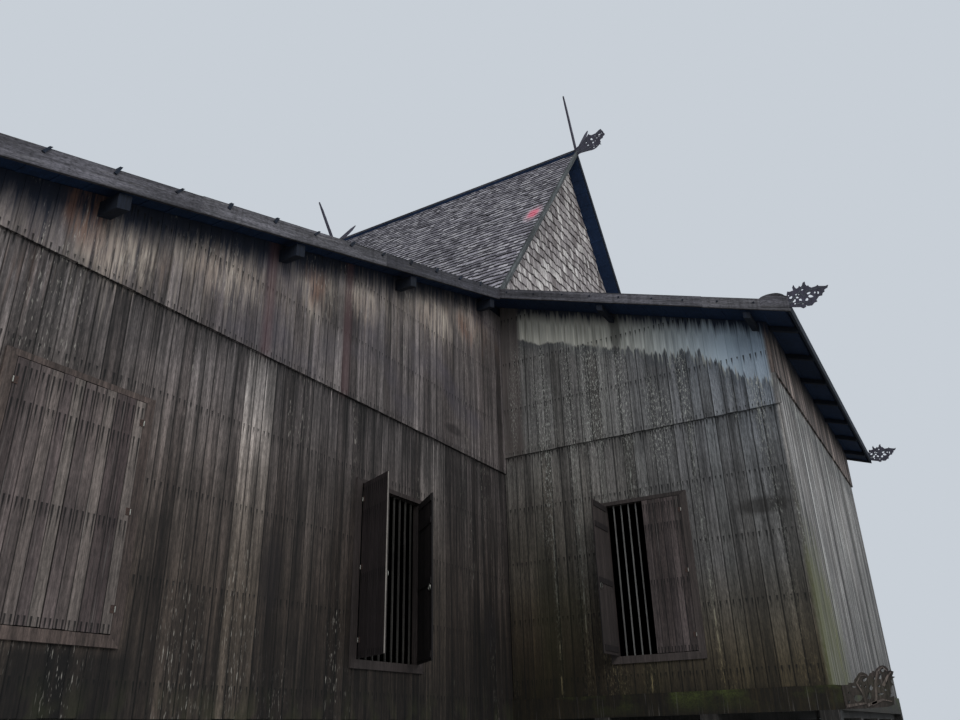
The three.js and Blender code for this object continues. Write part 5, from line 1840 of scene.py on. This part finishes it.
QUARTER = math.pi / 2
BODY_Z, WING_Z = BODY_WINDOW["bottom"], WING_WINDOW["bottom"]
seen_window("window_near_left_1", (-9.78, -BODY_FACE, BODY_Z), 0, BODY_WINDOW, 0, 0, 301,
            SHUTTER_OUTSIDE, SHUTTER_INSIDE, BARS, BODY_TRIM)
# The second window's leaves and bars are in painted shade.
seen_window("window_near_left_2", (-5.90, -BODY_FACE, BODY_Z), 0, BODY_WINDOW, 115, 50, 302,
            SHUTTER_IN_PAINTED_SHADE, SHUTTER_INSIDE, DARK_BARS)
seen_window("window_wing_near_left", (-WING_FACE, -WING_WINDOW_AT, WING_Z), -QUARTER, WING_WINDOW, 88, 0, 303,
            SHUTTER_WING, TRIM)
for i, at in enumerate(BODY_WINDOWS_AT):
    for name, side, end, turn, seed in (("near_right", -1, 1, 0, 310), ("far_left", 1, -1, math.pi, 312),
                                        ("far_right", 1, 1, math.pi, 314)):
        shut_window(f"window_{name}_{i + 1}", (end * at, side * BODY_FACE, BODY_Z), turn, BODY_WINDOW,
                    seed + i, SHUTTER_OUTSIDE)
for name, side, end in (("near_right", -1, 1), ("far_left", 1, -1), ("far_right", 1, 1)):
    shut_window(f"window_wing_{name}", (end * WING_FACE, side * WING_WINDOW_AT, WING_Z), end * QUARTER,
                WING_WINDOW, 317 + side + 2 * end, SHUTTER_WING)

# %% [markdown]
# ## Timbers that keep their measured shape
# Posts, bearers, floor and roof frames are plain square timbers, and the measured solids are
# already right. They only need their finish: the roof frames that of the dark frame timber, a
# painted shade, the floor its own, and the posts and bearers that of wood in wet ground.

# %% Finish the measured timbers
for node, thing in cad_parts.items():
    if thing.hide_render:
        continue
    # The roof frames take the frame's finish, a painted shade.
    worn = FRAME_WOOD if "roof_frame" in node else POSTS
    worn = FLOOR_WOOD if node == "floor" else worn
    thing.data.materials.clear()
    thing.data.materials.append(worn)
print("measured timbers shown:", sum(not thing.hide_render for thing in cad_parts.values()))

# %% [markdown]
# ## Floor and light
# A plain pale floor and an even, overcast kind of light: a bright dome, and one very large soft
# lamp from the open side of the house, as the sky is brighter there.

# %% Floor and light
FLOOR_REACH = 150.0
floor_mesh = bpy.data.meshes.new("studio_floor")
corners = rectangle(-FLOOR_REACH, FLOOR_REACH, -FLOOR_REACH, FLOOR_REACH)
floor_mesh.from_pydata([(x, y, 0) for x, y in corners], [], [(0, 1, 2, 3)])
studio_floor = bpy.data.objects.new("studio_floor", floor_mesh)
bpy.context.scene.collection.objects.link(studio_floor)
floor_material, add_to_floor = new_finish("pale_floor")
floor_surface = add_to_floor("BsdfPrincipled", named={"Base Color": paint("#a9aaa8"), "Roughness": 0.95})
add_to_floor("OutputMaterial", floor_surface)
floor_mesh.materials.append(floor_material)

world = bpy.data.worlds.new("overcast")
world.use_nodes = True
world.node_tree.nodes.clear()
put(world.node_tree, "OutputWorld", put(world.node_tree, "Background", paint("#c8cfd7"), 1.0))
bpy.context.scene.world = world
lamp_data = bpy.data.lights.new("soft_sky", "AREA")
lamp_data.shape, lamp_data.size, lamp_data.size_y = "RECTANGLE", 30.0, 20.0
lamp_data.energy = 6000.0
lamp = bpy.data.objects.new("soft_sky", lamp_data)
lamp.location = (-22.0, -30.0, 22.0)
lamp.rotation_euler = (Vector((0, -3, 4)) - lamp.location).to_track_quat("-Z", "Y").to_euler()
bpy.context.scene.collection.objects.link(lamp)
bpy.context.scene.view_settings.view_transform = "Standard"
print("soft lamp, metres across:", lamp_data.size)
